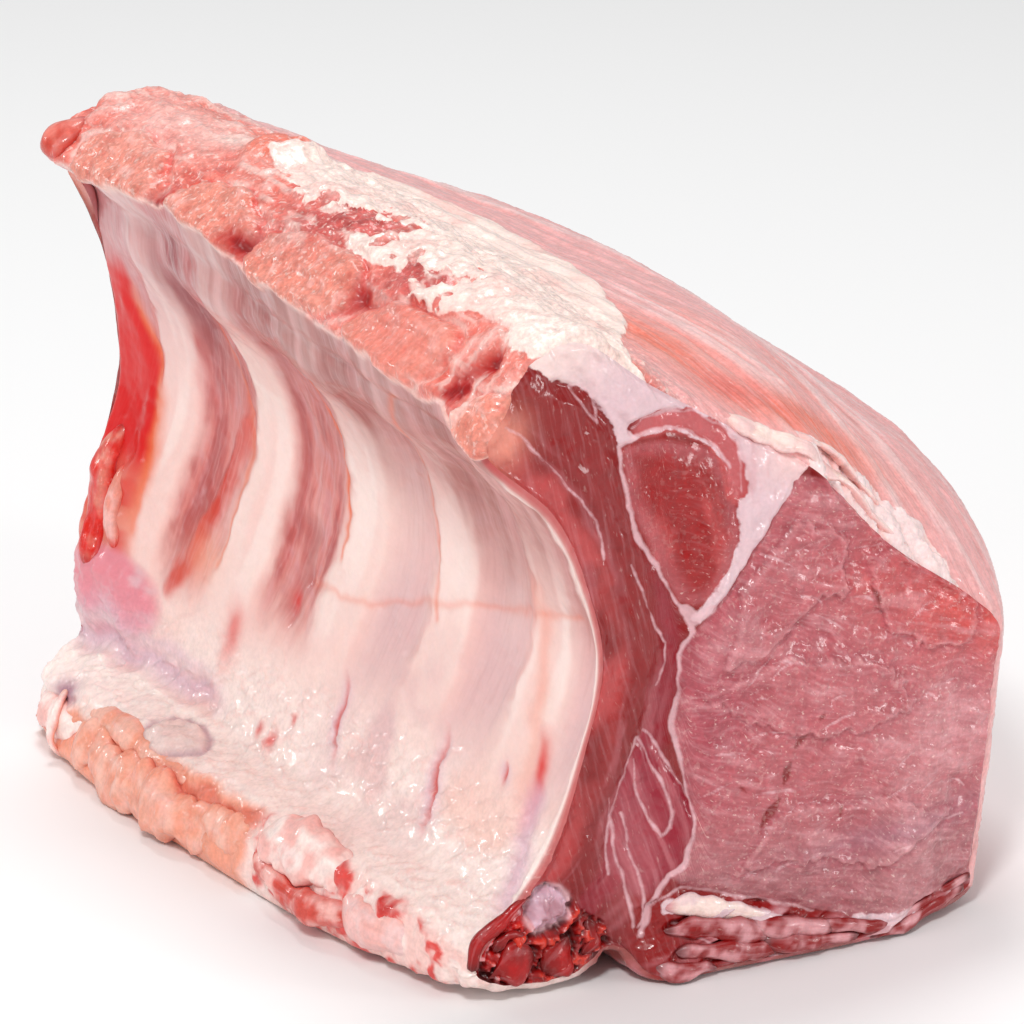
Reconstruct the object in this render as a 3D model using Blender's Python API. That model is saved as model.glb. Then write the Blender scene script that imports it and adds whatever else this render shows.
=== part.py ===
"""Raw bone-in pork loin rib roast, standing on its chine: lean meat, fat layer, five ribs and the chine bone.

Metres, +Z up. The loin runs along Y, with the shown cut at -Y. The hollow rib side faces -X.
The origin is under the middle of the roast, on the surface that it stands on.
"""
import math

import bmesh
import bpy
import numpy as np

MM = 0.001

# Driving dimensions, in millimetres
NEAR_Y = -76.5            # plane of the shown cut
FAR_Y = 84.0              # plane of the other cut
ROLL_DEPTH = 6.0          # how far the rolled lower muscle hangs out of the shown cut
ROLL_TOP = 24.0           # height where that roll starts
ROLL_SPAN = (-24.0, 52.0)  # where it lies across the cut
RIB_COUNT = 5
RIB_FIRST_Y = -63.5       # middle of the rib just behind the shown cut
RIB_PITCH = 32.0          # from one rib to the next
RIB_SLANT = -12.0         # from a rib's foot to its sawn end, along the loin
RIB_WIDTH = 14.0          # along the loin
RIB_THICKNESS = 9.0       # through the rib side
RIB_PROUD = 1.2           # how far a rib stands out of the meat on the rib side
END_PROUD = 0.8           # how far sawn bone and fat stand out of a cut
FAT_PROUD = 0.4           # how far the bare fat stands out of the meat
FAT_COVER = 1.4           # meat over the fat where it isn't bare
CENTRE = (2.75, 1.15)     # middle of the roast's box, in the x and y that the sizes here use
GAP = 0.3                 # clearance between touching solids
OVERRUN = 2.5             # how far a cutter runs past the cuts

# Fineness of the solids
STATIONS = 27             # sections along the loin
STEPS = 3                 # points between two landmarks of a section
RIB_SIDES = 12
RIB_RINGS = 12
CAP_RINGS = (0.90, 0.72, 0.40)
CAP_MIDDLE = (6.0, 62.0)  # where a cut's rings meet: every point of its rim is seen from there

# The section's landmarks, clockwise from the rib side's foot as seen from the shown cut:
# name, (x, z) at the shown cut, (x, z) at the far cut, outward swell half way along
OUTLINE = (
    ("chine_toe", (-50.0, 5.0), (-66.0, 3.0), 7.0),
    ("chine_lip", (-49.5, 10.5), (-63.5, 10.0), 6.0),
    ("gutter", (-42.0, 18.5), (-58.0, 16.5), 0.0),
    ("rib_low", (-35.5, 27.5), (-56.0, 26.0), -1.0),
    ("rib_mid_low", (-30.0, 42.0), (-54.5, 38.0), -2.0),
    ("rib_mid", (-26.0, 59.0), (-51.0, 54.0), -3.0),
    ("rib_mid_high", (-29.5, 75.0), (-46.0, 69.0), -3.0),
    ("rib_high", (-36.0, 88.0), (-47.0, 88.0), -1.0),
    ("rib_corner", (-48.6, 100.6), (-54.0, 107.0), 3.0),
    ("strip_mid", (-45.0, 109.5), (-58.5, 116.5), 2.0),
    ("crest_in", (-38.5, 117.5), (-52.0, 124.0), 1.0),
    ("crest", (-29.0, 119.7), (-38.0, 126.0), 1.0),
    ("fat_edge", (-14.5, 109.5), (-22.0, 119.0), 4.0),
    ("back_high", (4.0, 98.0), (-4.0, 106.0), 10.0),
    ("flap", (17.0, 90.0), (12.0, 95.0), 14.5),
    ("back_mid", (33.0, 73.5), (30.0, 80.0), 18.0),
    ("back_low", (50.0, 61.0), (47.0, 63.0), 20.0),
    ("shoulder", (56.0, 53.0), (55.0, 49.0), 18.5),
    ("side", (54.5, 36.0), (56.0, 32.0), 14.0),
    ("side_low", (52.0, 11.0), (53.0, 12.0), 9.0),
    ("heel", (48.5, 2.0), (47.0, 1.5), 7.0),
    ("base_right", (25.0, 0.0), (25.0, 0.0), 0.0),
    ("base_mid", (0.0, 0.0), (0.0, 0.0), 0.0),
    ("base_left", (-17.0, 0.5), (-22.0, 0.0), 0.0),
    ("notch", (-22.5, 5.5), (-30.0, 4.0), 0.0),
    ("chine_sole", (-31.0, 1.5), (-42.0, 0.0), 0.0),
    ("chine_base", (-43.0, 2.0), (-58.0, 0.0), 0.0),
)
NAMES = [row[0] for row in OUTLINE]

# Inner edge of the fat at the shown cut, from the flap round the fat wedge to the crest
FAT_INNER = (
    (13.1, 86.5), (7.3, 81.0), (1.8, 73.5), (-4.0, 66.5), (-5.6, 67.3), (-2.6, 72.5), (0.2, 81.2), (0.0, 89.5),
    (-4.0, 96.5), (-9.5, 99.5), (-16.9, 100.0), (-21.9, 97.5), (-23.9, 103.1), (-28.3, 109.3), (-35.2, 112.4),
)
# The chine bone's section at the shown cut
CHINE = (
    (-47.0, 3.5), (-47.0, 10.5), (-43.5, 15.5), (-37.0, 17.5), (-30.0, 16.0), (-26.0, 12.0), (-25.5, 7.0),
    (-28.5, 2.5), (-34.0, 0.6), (-42.0, 0.8),
)


def curve_weights(u):
    """Catmull-Rom weights of the points before, at, after and beyond, at fraction u of a span."""
    return (
        0.5 * (-u + 2.0 * u * u - u ** 3),
        0.5 * (2.0 - 5.0 * u * u + 3.0 * u ** 3),
        0.5 * (u + 4.0 * u * u - 3.0 * u ** 3),
        0.5 * (-u * u + u ** 3),
    )


def loop_point(points, place):
    """A point of the closed curve through the points; place 2.5 is half way from point 2 to point 3."""
    first, u = int(math.floor(place)), place % 1.0
    return sum(w * points[(first + k - 1) % len(points)] for k, w in enumerate(curve_weights(u)))


def loop(points, steps):
    return np.array([loop_point(points, k / steps) for k in range(len(points) * steps)])


def path(points, count):
    """A smooth curve through open points, resampled to count even steps."""
    points = np.vstack([2 * points[0] - points[1], points, 2 * points[-1] - points[-2]])
    fine = [loop_point(points, 1.0 + k / 12) for k in range(12 * (len(points) - 3) + 1)]
    travelled = np.concatenate([[0.0], np.cumsum(np.linalg.norm(np.diff(fine, axis=0), axis=1))])
    wanted = np.linspace(0.0, travelled[-1], count)
    return np.stack([np.interp(wanted, travelled, column) for column in np.transpose(fine)], axis=1)


def outward(points):
    """Unit normals that point out of a clockwise closed outline."""
    along = np.roll(points, -1, axis=0) - np.roll(points, 1, axis=0)
    normal = np.stack([-along[:, 1], along[:, 0]], axis=1)
    return normal / np.linalg.norm(normal, axis=1)[:, None]


def grown(points, amount):
    """The closed outline with every edge moved out by the same amount."""
    edge = np.roll(points, -1, axis=0) - points
    after = np.stack([-edge[:, 1], edge[:, 0]], axis=1) / np.linalg.norm(edge, axis=1)[:, None]
    before = np.roll(after, 1, axis=0)
    turn = 1.0 + (before * after).sum(axis=1)
    return points + amount * (before + after) / np.maximum(turn, 0.12)[:, None]


def y_at(t):
    return NEAR_Y + (FAR_Y - NEAR_Y) * t


def fraction_at(y):
    return (y - NEAR_Y) / (FAR_Y - NEAR_Y)


def stations():
    """Fractions of the length, closer together behind the cuts, where the swell starts."""
    even = np.linspace(0.0, math.pi, STATIONS)
    return 0.5 - 0.5 * np.cos(even) * (0.72 + 0.28 * np.abs(np.cos(even)))


def landmarks(t):
    """The outline's landmarks at fraction t of the length: the swell is steep just behind the cuts."""
    near, far = (np.array([row[k] for row in OUTLINE]) for k in (1, 2))
    swell = np.array([row[3] for row in OUTLINE]) * (1.0 - abs(2.0 * t - 1.0) ** 3)
    points = near + (far - near) * t
    points = points + outward(points) * swell[:, None]
    points[:, 1] = np.maximum(points[:, 1], 0.0)
    return points


def carry(points, t):
    """Move points of the shown cut along the loin with the landmarks nearest to them."""
    points, near = np.array(points), landmarks(0.0)
    apart = ((points[:, None] - near[None]) ** 2).sum(axis=2)
    weight = 1.0 / (apart + 9.0) ** 1.5
    moved = points + weight @ (landmarks(t) - near) / weight.sum(axis=1)[:, None]
    moved[:, 1] = np.maximum(moved[:, 1], 0.0)
    return moved


def roll_push(x, z, t):
    """How far the rolled lower muscle hangs out of the shown cut; it fades a tenth of the way along."""
    low = np.sin(0.5 * math.pi * np.clip((ROLL_TOP - z) / ROLL_TOP, 0.0, 1.0))
    left = np.clip((x - ROLL_SPAN[0]) / 10.0, 0.0, 1.0)
    right = np.clip((ROLL_SPAN[1] - x) / 26.0, 0.0, 1.0)
    return ROLL_DEPTH * low * left * right * max(0.0, 1.0 - 10.0 * t)


def ring_points(outline, t):
    """Points of a section, or of a ring inside it, in place along the loin."""
    push = roll_push(outline[:, 0], outline[:, 1], t)
    return np.stack([outline[:, 0], y_at(t) - push, outline[:, 1]], axis=1)


def bridge(bm, a, b):
    """Triangles between two rings, split alike in a piece and in its cutter."""
    count = len(a)
    for k in range(count):
        after = (k + 1) % count
        bm.faces.new((a[k], a[after], b[after]))
        bm.faces.new((a[k], b[after], b[k]))


def finish(bm, name):
    bmesh.ops.recalc_face_normals(bm, faces=bm.faces)
    mesh = bpy.data.meshes.new(name)
    bm.to_mesh(mesh)
    bm.free()
    return mesh


def loft_mesh(name, rings):
    """A closed body through rings of points, with a flat face on each end."""
    bm = bmesh.new()
    made = [[bm.verts.new(tuple(point * MM)) for point in ring] for ring in rings]
    for a, b in zip(made, made[1:]):
        bridge(bm, a, b)
    bm.faces.new(made[0])
    bm.faces.new(made[-1])
    return finish(bm, name)


def body_outline(t):
    outline = loop(landmarks(t), STEPS)
    outline[:, 1] = np.maximum(outline[:, 1], 0.0)
    return outline


def lean_mesh(name):
    """The whole roast's body: a loft whose cuts are closed by rings, so that the roll can stand out."""
    bm = bmesh.new()
    made = []
    for t in stations():
        made.append([bm.verts.new(tuple(p * MM)) for p in ring_points(body_outline(t), t)])
    for a, b in zip(made, made[1:]):
        bridge(bm, a, b)
    middle = np.array(CAP_MIDDLE)
    for t, rim in ((0.0, made[0]), (1.0, made[-1])):
        outline = body_outline(t)
        for share in CAP_RINGS:
            points = ring_points(middle + (outline - middle) * share, t)
            inner = [bm.verts.new(tuple(p * MM)) for p in points]
            bridge(bm, rim, inner)
            rim = inner
        bm.faces.new(rim)
    return finish(bm, name)


def fat_cover(place, t):
    """Depth of the fat's outer edge under the meat's outline: less than none where the fat is bare."""
    left = 9.7 + 1.9 * min(t / 0.8, 1.0) ** 1.6
    right = 12.4 - 0.8 * max(0.0, (t - 0.5) / 0.3)
    inside = min(place - left, right - place) / 0.25
    bare = min(max(inside, 0.0), 1.0)
    return FAT_COVER - (FAT_COVER + FAT_PROUD) * bare


def fat_section(t, grow):
    """The fat's outline: under the crest and the back, with a wedge down between two muscles."""
    marks = landmarks(t)
    outline = loop(marks, 8)
    normals = outward(outline)
    first, last = NAMES.index("strip_mid") + 0.75, NAMES.index("flap") + 0.0
    outer = []
    for place in np.linspace(first, last, 16):
        normal = normals[int(round(place * 8)) % len(outline)]
        outer.append(loop_point(marks, place) - normal * fat_cover(place, t))
    section = np.vstack([outer, carry(FAT_INNER, t)])
    return grown(section, grow)


def chine_section(t, grow):
    section = carry(CHINE, t)
    section[-3:, 1] = np.where(t > 0.0, 0.0, section[-3:, 1])
    return grown(section, grow)


def long_mesh(name, section, grow, overrun):
    """A body that runs through the roast and stands out of both cuts."""
    rings = []
    for t in stations():
        flat = section(t, grow)
        y = np.full(len(flat), y_at(t))
        if t == 0.0:
            y -= overrun
        if t == 1.0:
            y += overrun
        rings.append(np.stack([flat[:, 0], y, flat[:, 1]], axis=1))
    return loft_mesh(name, rings)


def rib_centre(share, t):
    """A point of a rib's middle line, from its foot (0) up the rib side and out of the top strip (1)."""
    marks = landmarks(t)
    normals = outward(marks)
    low, high = NAMES.index("rib_low"), NAMES.index("rib_high")
    depth = RIB_THICKNESS / 2 - RIB_PROUD
    line = marks[low:high + 1] - normals[low:high + 1] * depth
    corner, strip, crest = marks[high + 1:high + 4]
    top = 0.35 * corner + 0.45 * strip + 0.20 * crest
    reach = top - line[-1]
    bow = line[-1] + 0.5 * reach + np.array([1.2, 0.0])
    end = top + END_PROUD * reach / np.linalg.norm(reach)
    return path(np.vstack([line, bow, end]), RIB_RINGS)[int(round(share * (RIB_RINGS - 1)))]


def rib_mesh(name, y, grow, overrun):
    """One rib about its own station y, with an oval section that widens in the middle."""
    shares = np.linspace(0.0, 1.0, RIB_RINGS)
    ys = y + RIB_SLANT * (shares - 0.5)
    line = np.array([rib_centre(share, fraction_at(at)) for share, at in zip(shares, ys)])
    line[0] -= (line[1] - line[0]) / np.linalg.norm(line[1] - line[0]) * grow
    line[-1] += (line[-1] - line[-2]) / np.linalg.norm(line[-1] - line[-2]) * overrun
    forward = np.gradient(line, axis=0)
    forward /= np.linalg.norm(forward, axis=1)[:, None]
    wide = RIB_WIDTH / 2 * (0.74 + 0.26 * np.sin(math.pi * shares * 0.8 + 0.5)) + grow
    thick = RIB_THICKNESS / 2 * (0.85 + 0.15 * shares) + grow
    turn = np.linspace(0.0, 2.0 * math.pi, RIB_SIDES, endpoint=False)
    rings = []
    for k in range(RIB_RINGS):
        across, through = wide[k] * np.cos(turn), thick[k] * np.sin(turn)
        rings.append(np.stack([
            line[k][0] + forward[k][1] * through,
            ys[k] - y + across,
            line[k][1] - forward[k][0] * through,
        ], axis=1))
    return loft_mesh(name, rings)


def add_material(name, colour, roughness):
    material = bpy.data.materials.new(name)
    material.use_nodes = True
    shader = material.node_tree.nodes["Principled BSDF"]
    shader.inputs["Base Color"].default_value = (*colour, 1.0)
    shader.inputs["Roughness"].default_value = roughness
    shader.inputs["Metallic"].default_value = 0.0
    return material


def add_base(collection):
    """The point that every piece hangs on: it puts the origin under the middle of the roast's box."""
    base = bpy.data.objects.new("roast_base", None)
    collection.objects.link(base)
    base.location = (-CENTRE[0] * MM, -CENTRE[1] * MM, 0.0)
    return base


def add_piece(name, mesh, base, collection, material, y=0.0):
    """A visible piece of the roast, at station y."""
    piece = bpy.data.objects.new(name, mesh)
    collection.objects.link(piece)
    piece.parent = base
    piece.location.y = y * MM
    mesh.materials.append(material)
    mesh.shade_smooth()
    mesh.set_sharp_from_angle(angle=math.radians(40.0))
    return piece


def cut(body, mesh, collection, y=0.0):
    """Cut the body with a mesh at station y."""
    cutter = bpy.data.objects.new(mesh.name, mesh)
    collection.objects.link(cutter)
    cutter.parent = body.parent
    cutter.location.y = y * MM
    cutter.hide_render = True
    cutter.display_type = "WIRE"
    modifier = body.modifiers.new(mesh.name, "BOOLEAN")
    modifier.operation = "DIFFERENCE"
    modifier.solver = "EXACT"
    modifier.object = cutter


def main():
    for old in list(bpy.data.objects):
        bpy.data.objects.remove(old, do_unlink=True)
    roast = bpy.data.collections.new("pork_loin_roast")
    cutters = bpy.data.collections.new("cutters")
    bpy.context.scene.collection.children.link(roast)
    bpy.context.scene.collection.children.link(cutters)
    meat = add_material("lean_pork", (0.62, 0.22, 0.20), 0.45)
    fat = add_material("pork_fat", (0.86, 0.68, 0.60), 0.5)
    bone = add_material("rib_bone", (0.80, 0.52, 0.40), 0.5)
    marrow = add_material("chine_marrow", (0.50, 0.07, 0.06), 0.4)

    base = add_base(roast)
    lean = add_piece("lean_meat", lean_mesh("lean_meat"), base, roast, meat)
    for name, section, material in (("fat_cap", fat_section, fat), ("chine_bone", chine_section, marrow)):
        add_piece(name, long_mesh(name, section, 0.0, END_PROUD), base, roast, material)
        cut(lean, long_mesh(name + "_cut", section, GAP, OVERRUN), cutters)
    for k in range(RIB_COUNT):
        name, y = "rib_%d" % (k + 1), RIB_FIRST_Y + k * RIB_PITCH
        add_piece(name, rib_mesh(name, y, 0.0, 0.0), base, roast, bone, y)
        cut(lean, rib_mesh(name + "_cut", y, GAP, OVERRUN), cutters, y)


main()
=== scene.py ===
"""The looks of a raw bone-in pork loin rib roast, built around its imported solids.

Sizes are in millimetres of the roast's sections: x and z across the loin, y along it. place() turns them into
metres of the model's frame. The shown cut is at NEAR_Y, and the hollow rib side faces -x.
On the skin round the loin, s is the distance from the top of the rib side: below 0 down the rib side, above 0
over the strip of sawn ribs, the crest and the back.
"""
import math

import bpy
import numpy as np
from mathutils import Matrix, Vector


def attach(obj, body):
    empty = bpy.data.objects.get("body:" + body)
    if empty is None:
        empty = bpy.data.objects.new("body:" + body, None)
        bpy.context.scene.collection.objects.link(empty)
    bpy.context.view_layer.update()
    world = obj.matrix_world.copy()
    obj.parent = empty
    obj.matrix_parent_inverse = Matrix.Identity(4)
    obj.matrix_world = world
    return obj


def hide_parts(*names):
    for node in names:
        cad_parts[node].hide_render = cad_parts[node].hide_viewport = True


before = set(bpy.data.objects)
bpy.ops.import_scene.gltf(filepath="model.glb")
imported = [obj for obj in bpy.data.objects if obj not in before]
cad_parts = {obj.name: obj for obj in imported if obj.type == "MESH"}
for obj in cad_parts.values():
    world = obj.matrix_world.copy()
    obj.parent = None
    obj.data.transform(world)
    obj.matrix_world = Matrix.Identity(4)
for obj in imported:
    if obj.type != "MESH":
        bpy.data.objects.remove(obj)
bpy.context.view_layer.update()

NEAR_Y = -76.5
FAR_Y = 84.0
LENGTH = FAR_Y - NEAR_Y
CENTRE = (2.75, 1.15)     # the model's origin, in section millimetres
ROLL_DEPTH = 6.0          # how far the rolled lower muscle hangs out of the shown cut
ROLL_TOP = 24.0
ROLL_SPAN = (-24.0, 52.0)
ROLL_FADE = 16.0          # how far along the loin the overhang dies away
RIM = 1.3                 # radius of the rounded edge round a cut
RIM_ROWS = 6
ROWS = 300                # along the loin
RIB_COLUMNS = 300         # across the rib side, and down a cut
TOP_COLUMNS = 330         # over the crest and the back, and across a cut
SIDE_STEP = 5             # the plain outer side and the base take every so many of a cut's points
BASE_STEP = 4
STRAND_STEP = 0.45        # between the rings of a strand
NONE = -4.0               # a cover or thread that nowhere shows

# The section's landmarks, clockwise from the rib side's foot as seen from the shown cut:
# name, (x, z) at the shown cut, (x, z) at the far cut, outward swell half way along
OUTLINE = (
    ("chine_toe", (-50, 5), (-66, 3), 7),
    ("chine_lip", (-49.5, 10.5), (-63.5, 10), 6),
    ("gutter", (-42, 18.5), (-58, 16.5), 0),
    ("rib_low", (-35.5, 27.5), (-56, 26), -1),
    ("rib_mid_low", (-30, 42), (-54.5, 38), -2),
    ("rib_mid", (-26, 59), (-51, 54), -3),
    ("rib_mid_high", (-29.5, 75), (-46, 69), -3),
    ("rib_high", (-36, 88), (-47, 88), -1),
    ("rib_corner", (-48.6, 100.6), (-54, 107), 3),
    ("strip_mid", (-45, 109.5), (-58.5, 116.5), 2),
    ("crest_in", (-38.5, 117.5), (-52, 124), 1),
    ("crest", (-29, 119.7), (-38, 126), 1),
    ("fat_edge", (-14.5, 109.5), (-22, 119), 4),
    ("back_high", (4, 98), (-4, 106), 10),
    ("flap", (17, 90), (12, 95), 14.5),
    ("back_mid", (33, 73.5), (30, 80), 18),
    ("back_low", (50, 61), (47, 63), 20),
    ("shoulder", (56, 53), (55, 49), 18.5),
    ("side", (54.5, 36), (56, 32), 14),
    ("side_low", (52, 11), (53, 12), 9),
    ("heel", (48.5, 2), (47, 1.5), 7),
    ("base_right", (25, 0), (25, 0), 0),
    ("base_mid", (0, 0), (0, 0), 0),
    ("base_left", (-17, 0.5), (-22, 0), 0),
    ("notch", (-22.5, 5.5), (-30, 4), 0),
    ("chine_sole", (-31, 1.5), (-42, 0), 0),
    ("chine_base", (-43, 2), (-58, 0), 0),
)
FOOT, CORNER, SHOULDER, HEEL = -0.5, 8.0, 17.0, 20.0   # where the surface is divided, in landmarks

# Each rib's y half way down the rib side, and how y changes up a rib
RIB_MIDS = (-63, -32, -2, 31, 64)
RIB_LEAN = -0.16
# The inner edge of the strip of sawn ribs: (y, s)
STRIP_EDGE = (
    (-76, 0), (-64, 6), (-49, 7), (-32, 8), (-15, 9), (6, 10), (23, 12), (36, 12), (48, 11), (63, 10), (84, 8),
)
# Lines on the rib side: width, strength, (s, y) points
ORANGE_LINES = (
    (0.7, 0.8, ((-19, 8), (-31, 4.5), (-41, 4.8), (-54, 4))),
    (0.5, 0.9, ((-24, 7), (-36, 4.6), (-46, 4.6))),
    (0.8, 0.5, ((2, -46), (-19, -31), (-30, -27), (-46, -26), (-57, -27))),
    (0.9, 0.6, ((-14, 44), (-28, 41), (-45, 38), (-66, 40))),
    (2.6, 0.35, ((-40, -58), (-56, -62), (-78, -64))),
    (0.8, 0.30, ((-60, 14), (-60, 3), (-57, -14), (-52, -35), (-46, -57), (-41, -73))),
    (1.0, 0.5, ((-30, 72), (-50, 68), (-66, 68))),
)
# Slits in the membrane below them: width, depth, (s, y) points
FOOT_SLITS = (
    (0.8, 1.1, ((-74, -37), (-83, -40), (-94, -44))),
    (0.6, 0.5, ((-73, -5), (-82, -7), (-91, -10))),
    (0.6, 0.6, ((-73, -58), (-78, -58.5))),
)
# Ovals on the strip: centre (s, y), radii and, for the rib ends, a turn in degrees
RIB_ENDS = (
    (15, 58, 8, 15, 0), (15, 23, 8, 13, 0), (15, -10, 7.6, 17, 4), (12.5, -45, 7.4, 14, 8), (5, -76, 6.5, 7, 10),
)
PITS = ((14, 10, 3.2, 5), (10, -66, 5, 2.2), (16, -68, 3, 2.6), (17, -29, 2.6, 3.4), (13, 40, 2.8, 2.6))
# The bare white fat on the crest, the islands of muscle in it, and the frill above the eye, in (s, y)
FAT_PATCH = (
    (40, 33), (33, 30), (30, 17), (27, 8), (24, -8), (22, -20), (24, -30), (21, -40), (21, -50), (24, -58),
    (23, -66), (20, -72), (16, -90), (43, -90), (43, -74), (47, -66), (56, -56), (63, -46), (66, -35),
    (70, -12), (71, 6), (66, 18), (54, 30),
)
ISLANDS = ((28.5, -6, 7, 12, 20), (25, -38, 5, 8, 0), (27, 20, 4, 6, 30))
FRILL_PATCH = ((78, -90), (80, -74), (86, -70.5), (94, -68.5), (104, -68), (113, -69), (122, -72.5), (126, -90))

# The cut's muscles, in (x, z)
EYE_OUTLINE = (
    (-7.5, 63), (-3.4, 67.9), (0.1, 71.1), (3, 75.2), (5.9, 79.3), (9.8, 84.2), (13.1, 88.3), (24, 86),
    (40, 76), (62, 62), (64, 30), (58, 5.2), (51.6, 5), (46.6, 5.2), (41.1, 5.4), (35.5, 4.6), (31.4, 3.6),
    (27.2, 3.7), (23.3, 5), (19.7, 7), (13.6, 8.6), (7.4, 10.6), (2.1, 12.6), (-2.6, 14.4), (-6.6, 15.6),
    (-11.4, 17.2), (-13.8, 19.3), (-10.7, 21), (-8.7, 25.8), (-8.8, 31.2), (-9.6, 37.8), (-10.9, 43.1),
    (-11.5, 45.8), (-10.6, 50.4), (-10.6, 54.7), (-9.7, 59.2),
)
FAT_OUTLINE = (
    (-39.9, 115.9), (-40, 121), (-29, 124), (-16, 116), (0, 106), (17.3, 96), (19, 91), (15.4, 90.4),
    (13.1, 88.3), (9.8, 84.2), (5.9, 79.3), (3, 75.2), (0.1, 71.1), (-3.4, 67.9), (-6.6, 64.4), (-8.2, 65.6),
    (-4.6, 69.6), (-1.9, 73.6), (0.3, 80.2), (0.8, 85.6), (-0.8, 91.3), (-4, 95.8), (-8.3, 98.8),
    (-13, 100.4), (-17.9, 99.9), (-21.9, 98.5), (-23.4, 102.4), (-25.8, 106.1), (-28.3, 109.3),
    (-31.8, 111.4), (-35.2, 112.4), (-38, 114.6),
)
SPINALIS_OUTLINE = (
    (-21.9, 98.1), (-18.4, 98.7), (-14.4, 99.2), (-10.5, 98.2), (-5.8, 96.8), (-2.2, 94.1), (0.2, 90.4),
    (1, 86.7), (0.9, 81.2), (-0.2, 74.8), (-1.9, 70.8), (-4.2, 67.9), (-7.8, 67.4), (-10.2, 68.9),
    (-13, 73.2), (-15.4, 78.3), (-18.3, 83.7), (-20.7, 89.5),
)
DARK_OUTLINE = (
    (-40.9, 112.5), (-33.3, 111.4), (-27.5, 107.9), (-23.7, 100.2), (-21.5, 89.1), (-17.7, 80.3), (-14.7, 71.6),
    (-14.3, 66), (-12.7, 62.1), (-14.6, 56.9), (-17.5, 53.7), (-18.9, 55.8), (-19.7, 65.1), (-21.2, 75.4),
    (-25.5, 85.2), (-28.8, 90.2), (-31.7, 95.3), (-35.1, 100.1), (-38.6, 103.7), (-42.4, 106.6), (-43.7, 110.3),
)
LEAF_OUTLINE = (
    (-17.2, 46.2), (-14.4, 42.9), (-11.8, 38.7), (-9.8, 34.6), (-8.6, 31.2), (-8.1, 28.1), (-8.9, 25),
    (-10.9, 21.6), (-13.2, 18.8), (-18.4, 15.2), (-22.6, 20.4), (-23.8, 25.9), (-22.8, 31.4),
    (-21.7, 35.8), (-20.1, 40.2),
)
CHINE_OUTLINE = (
    (-54, 3), (-52, 12), (-46.7, 13.8), (-43.5, 16.4), (-39.6, 19.4), (-35.4, 20.6), (-31.6, 18.4), (-28, 14.6),
    (-24.6, 11.2), (-22.6, 7), (-22.5, 0), (-40, -3),
)
# Thin white seams: half width, how deep they lie, points. The first is the main one
SEAMS = (
    (0.42, 0.5, ((-21.9, 98.5), (-21.5, 93.8), (-19.7, 88.3), (-18.9, 84.3), (-17.3, 80.6), (-14.4, 76.5),
                 (-12.8, 73.3), (-10.2, 68.7), (-8.2, 66.5), (-7.7, 63.1), (-9.7, 59.2), (-10.6, 54.7),
                 (-10.6, 50.4), (-11.5, 45.8), (-10.9, 43.1), (-9.6, 37.8), (-8.8, 31.2), (-8.7, 25.8),
                 (-10.7, 21), (-13.8, 19.3), (-17.2, 14.3), (-18.7, 8.9))),
    (0.34, 0.2, ((-19.5, 101.6), (-17.9, 103.5), (-12.9, 104.2), (-7, 102.8), (-2.1, 100), (0.7, 96.4),
                 (1.7, 92.2), (1.6, 87.4))),
    (0.24, 0.35, ((-19.2, 77.1), (-16.6, 70.1), (-14.6, 64.6), (-12.3, 61.8), (-12.6, 58.4), (-14.5, 54))),
    (0.22, 0.3, ((-43.7, 105.9), (-39, 101.6), (-33.2, 94.5), (-29.4, 89.8), (-26.1, 85.6), (-24.6, 79))),
    (0.22, 0.3, ((-31.4, 110.6), (-29.5, 110.7), (-27.2, 108.6), (-26.2, 105.6), (-26.4, 103.5), (-28.5, 105.6),
                 (-30.4, 108.2), (-31.4, 110.6))),
    (0.26, 0.35, ((-17.2, 46.2), (-14.4, 42.9), (-11.8, 38.7), (-9.8, 34.6), (-8.6, 31.2))),
    (0.28, 0.35, ((-18, 44.5), (-15.4, 40.3), (-13.4, 35.3), (-12.2, 31.1), (-12.7, 28.2), (-14.3, 27))),
    (0.26, 0.3, ((-18.8, 40.9), (-18.9, 37.2), (-17.9, 33.3), (-15.7, 29.1), (-14.5, 26.8))),
    (0.26, 0.35, ((-18.2, 44.9), (-20.1, 40.2), (-21.7, 35.8), (-22.8, 31.4), (-23.8, 25.9), (-23.4, 20))),
    (0.26, 0.3, ((-23.6, 34.3), (-22.2, 24.7), (-20.8, 16.8), (-19.9, 11))),
    (0.26, 0.3, ((-21.3, 31.1), (-19.2, 22.2), (-18.2, 16.4), (-18.3, 10.7))),
    (0.30, 0.5, ((-19.1, 10.7), (-17.2, 13.9), (-14.8, 15.7), (-11.6, 16.8), (-6.6, 15.4), (0.9, 13),
                 (8.2, 10.4), (15.2, 8))),
    (0.26, 0.4, ((-13.2, 10.6), (-5.1, 5.3), (4.1, 1.6), (15.4, 0.2))),
    (0.26, 0.4, ((-7.1, 9.5), (3, 5.6), (13.2, 3.2), (23.6, 1.3))),
)
# Dark slits and creases in the eye: half width, depth, points
SLITS = (
    (0.60, 1.6, ((4.1, 26.2), (5.9, 28.4), (7.9, 30.5))),
    (0.46, 1.3, ((8.9, 33), (9.6, 34.7), (10.4, 36.5))),
    (0.30, 0.9, ((11.2, 39.5), (12.4, 40.5), (13.8, 41.5))),
    (0.18, 0.6, ((16, 43.8), (16.9, 44.8))),
    (0.16, 0.5, ((20.2, 24.8), (20.6, 27))),
    (0.14, 0.4, ((0, 34.2), (1.2, 33))),
    (0.12, 0.4, ((27, 66.4), (28.4, 64.4), (29, 62))),
)
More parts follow.
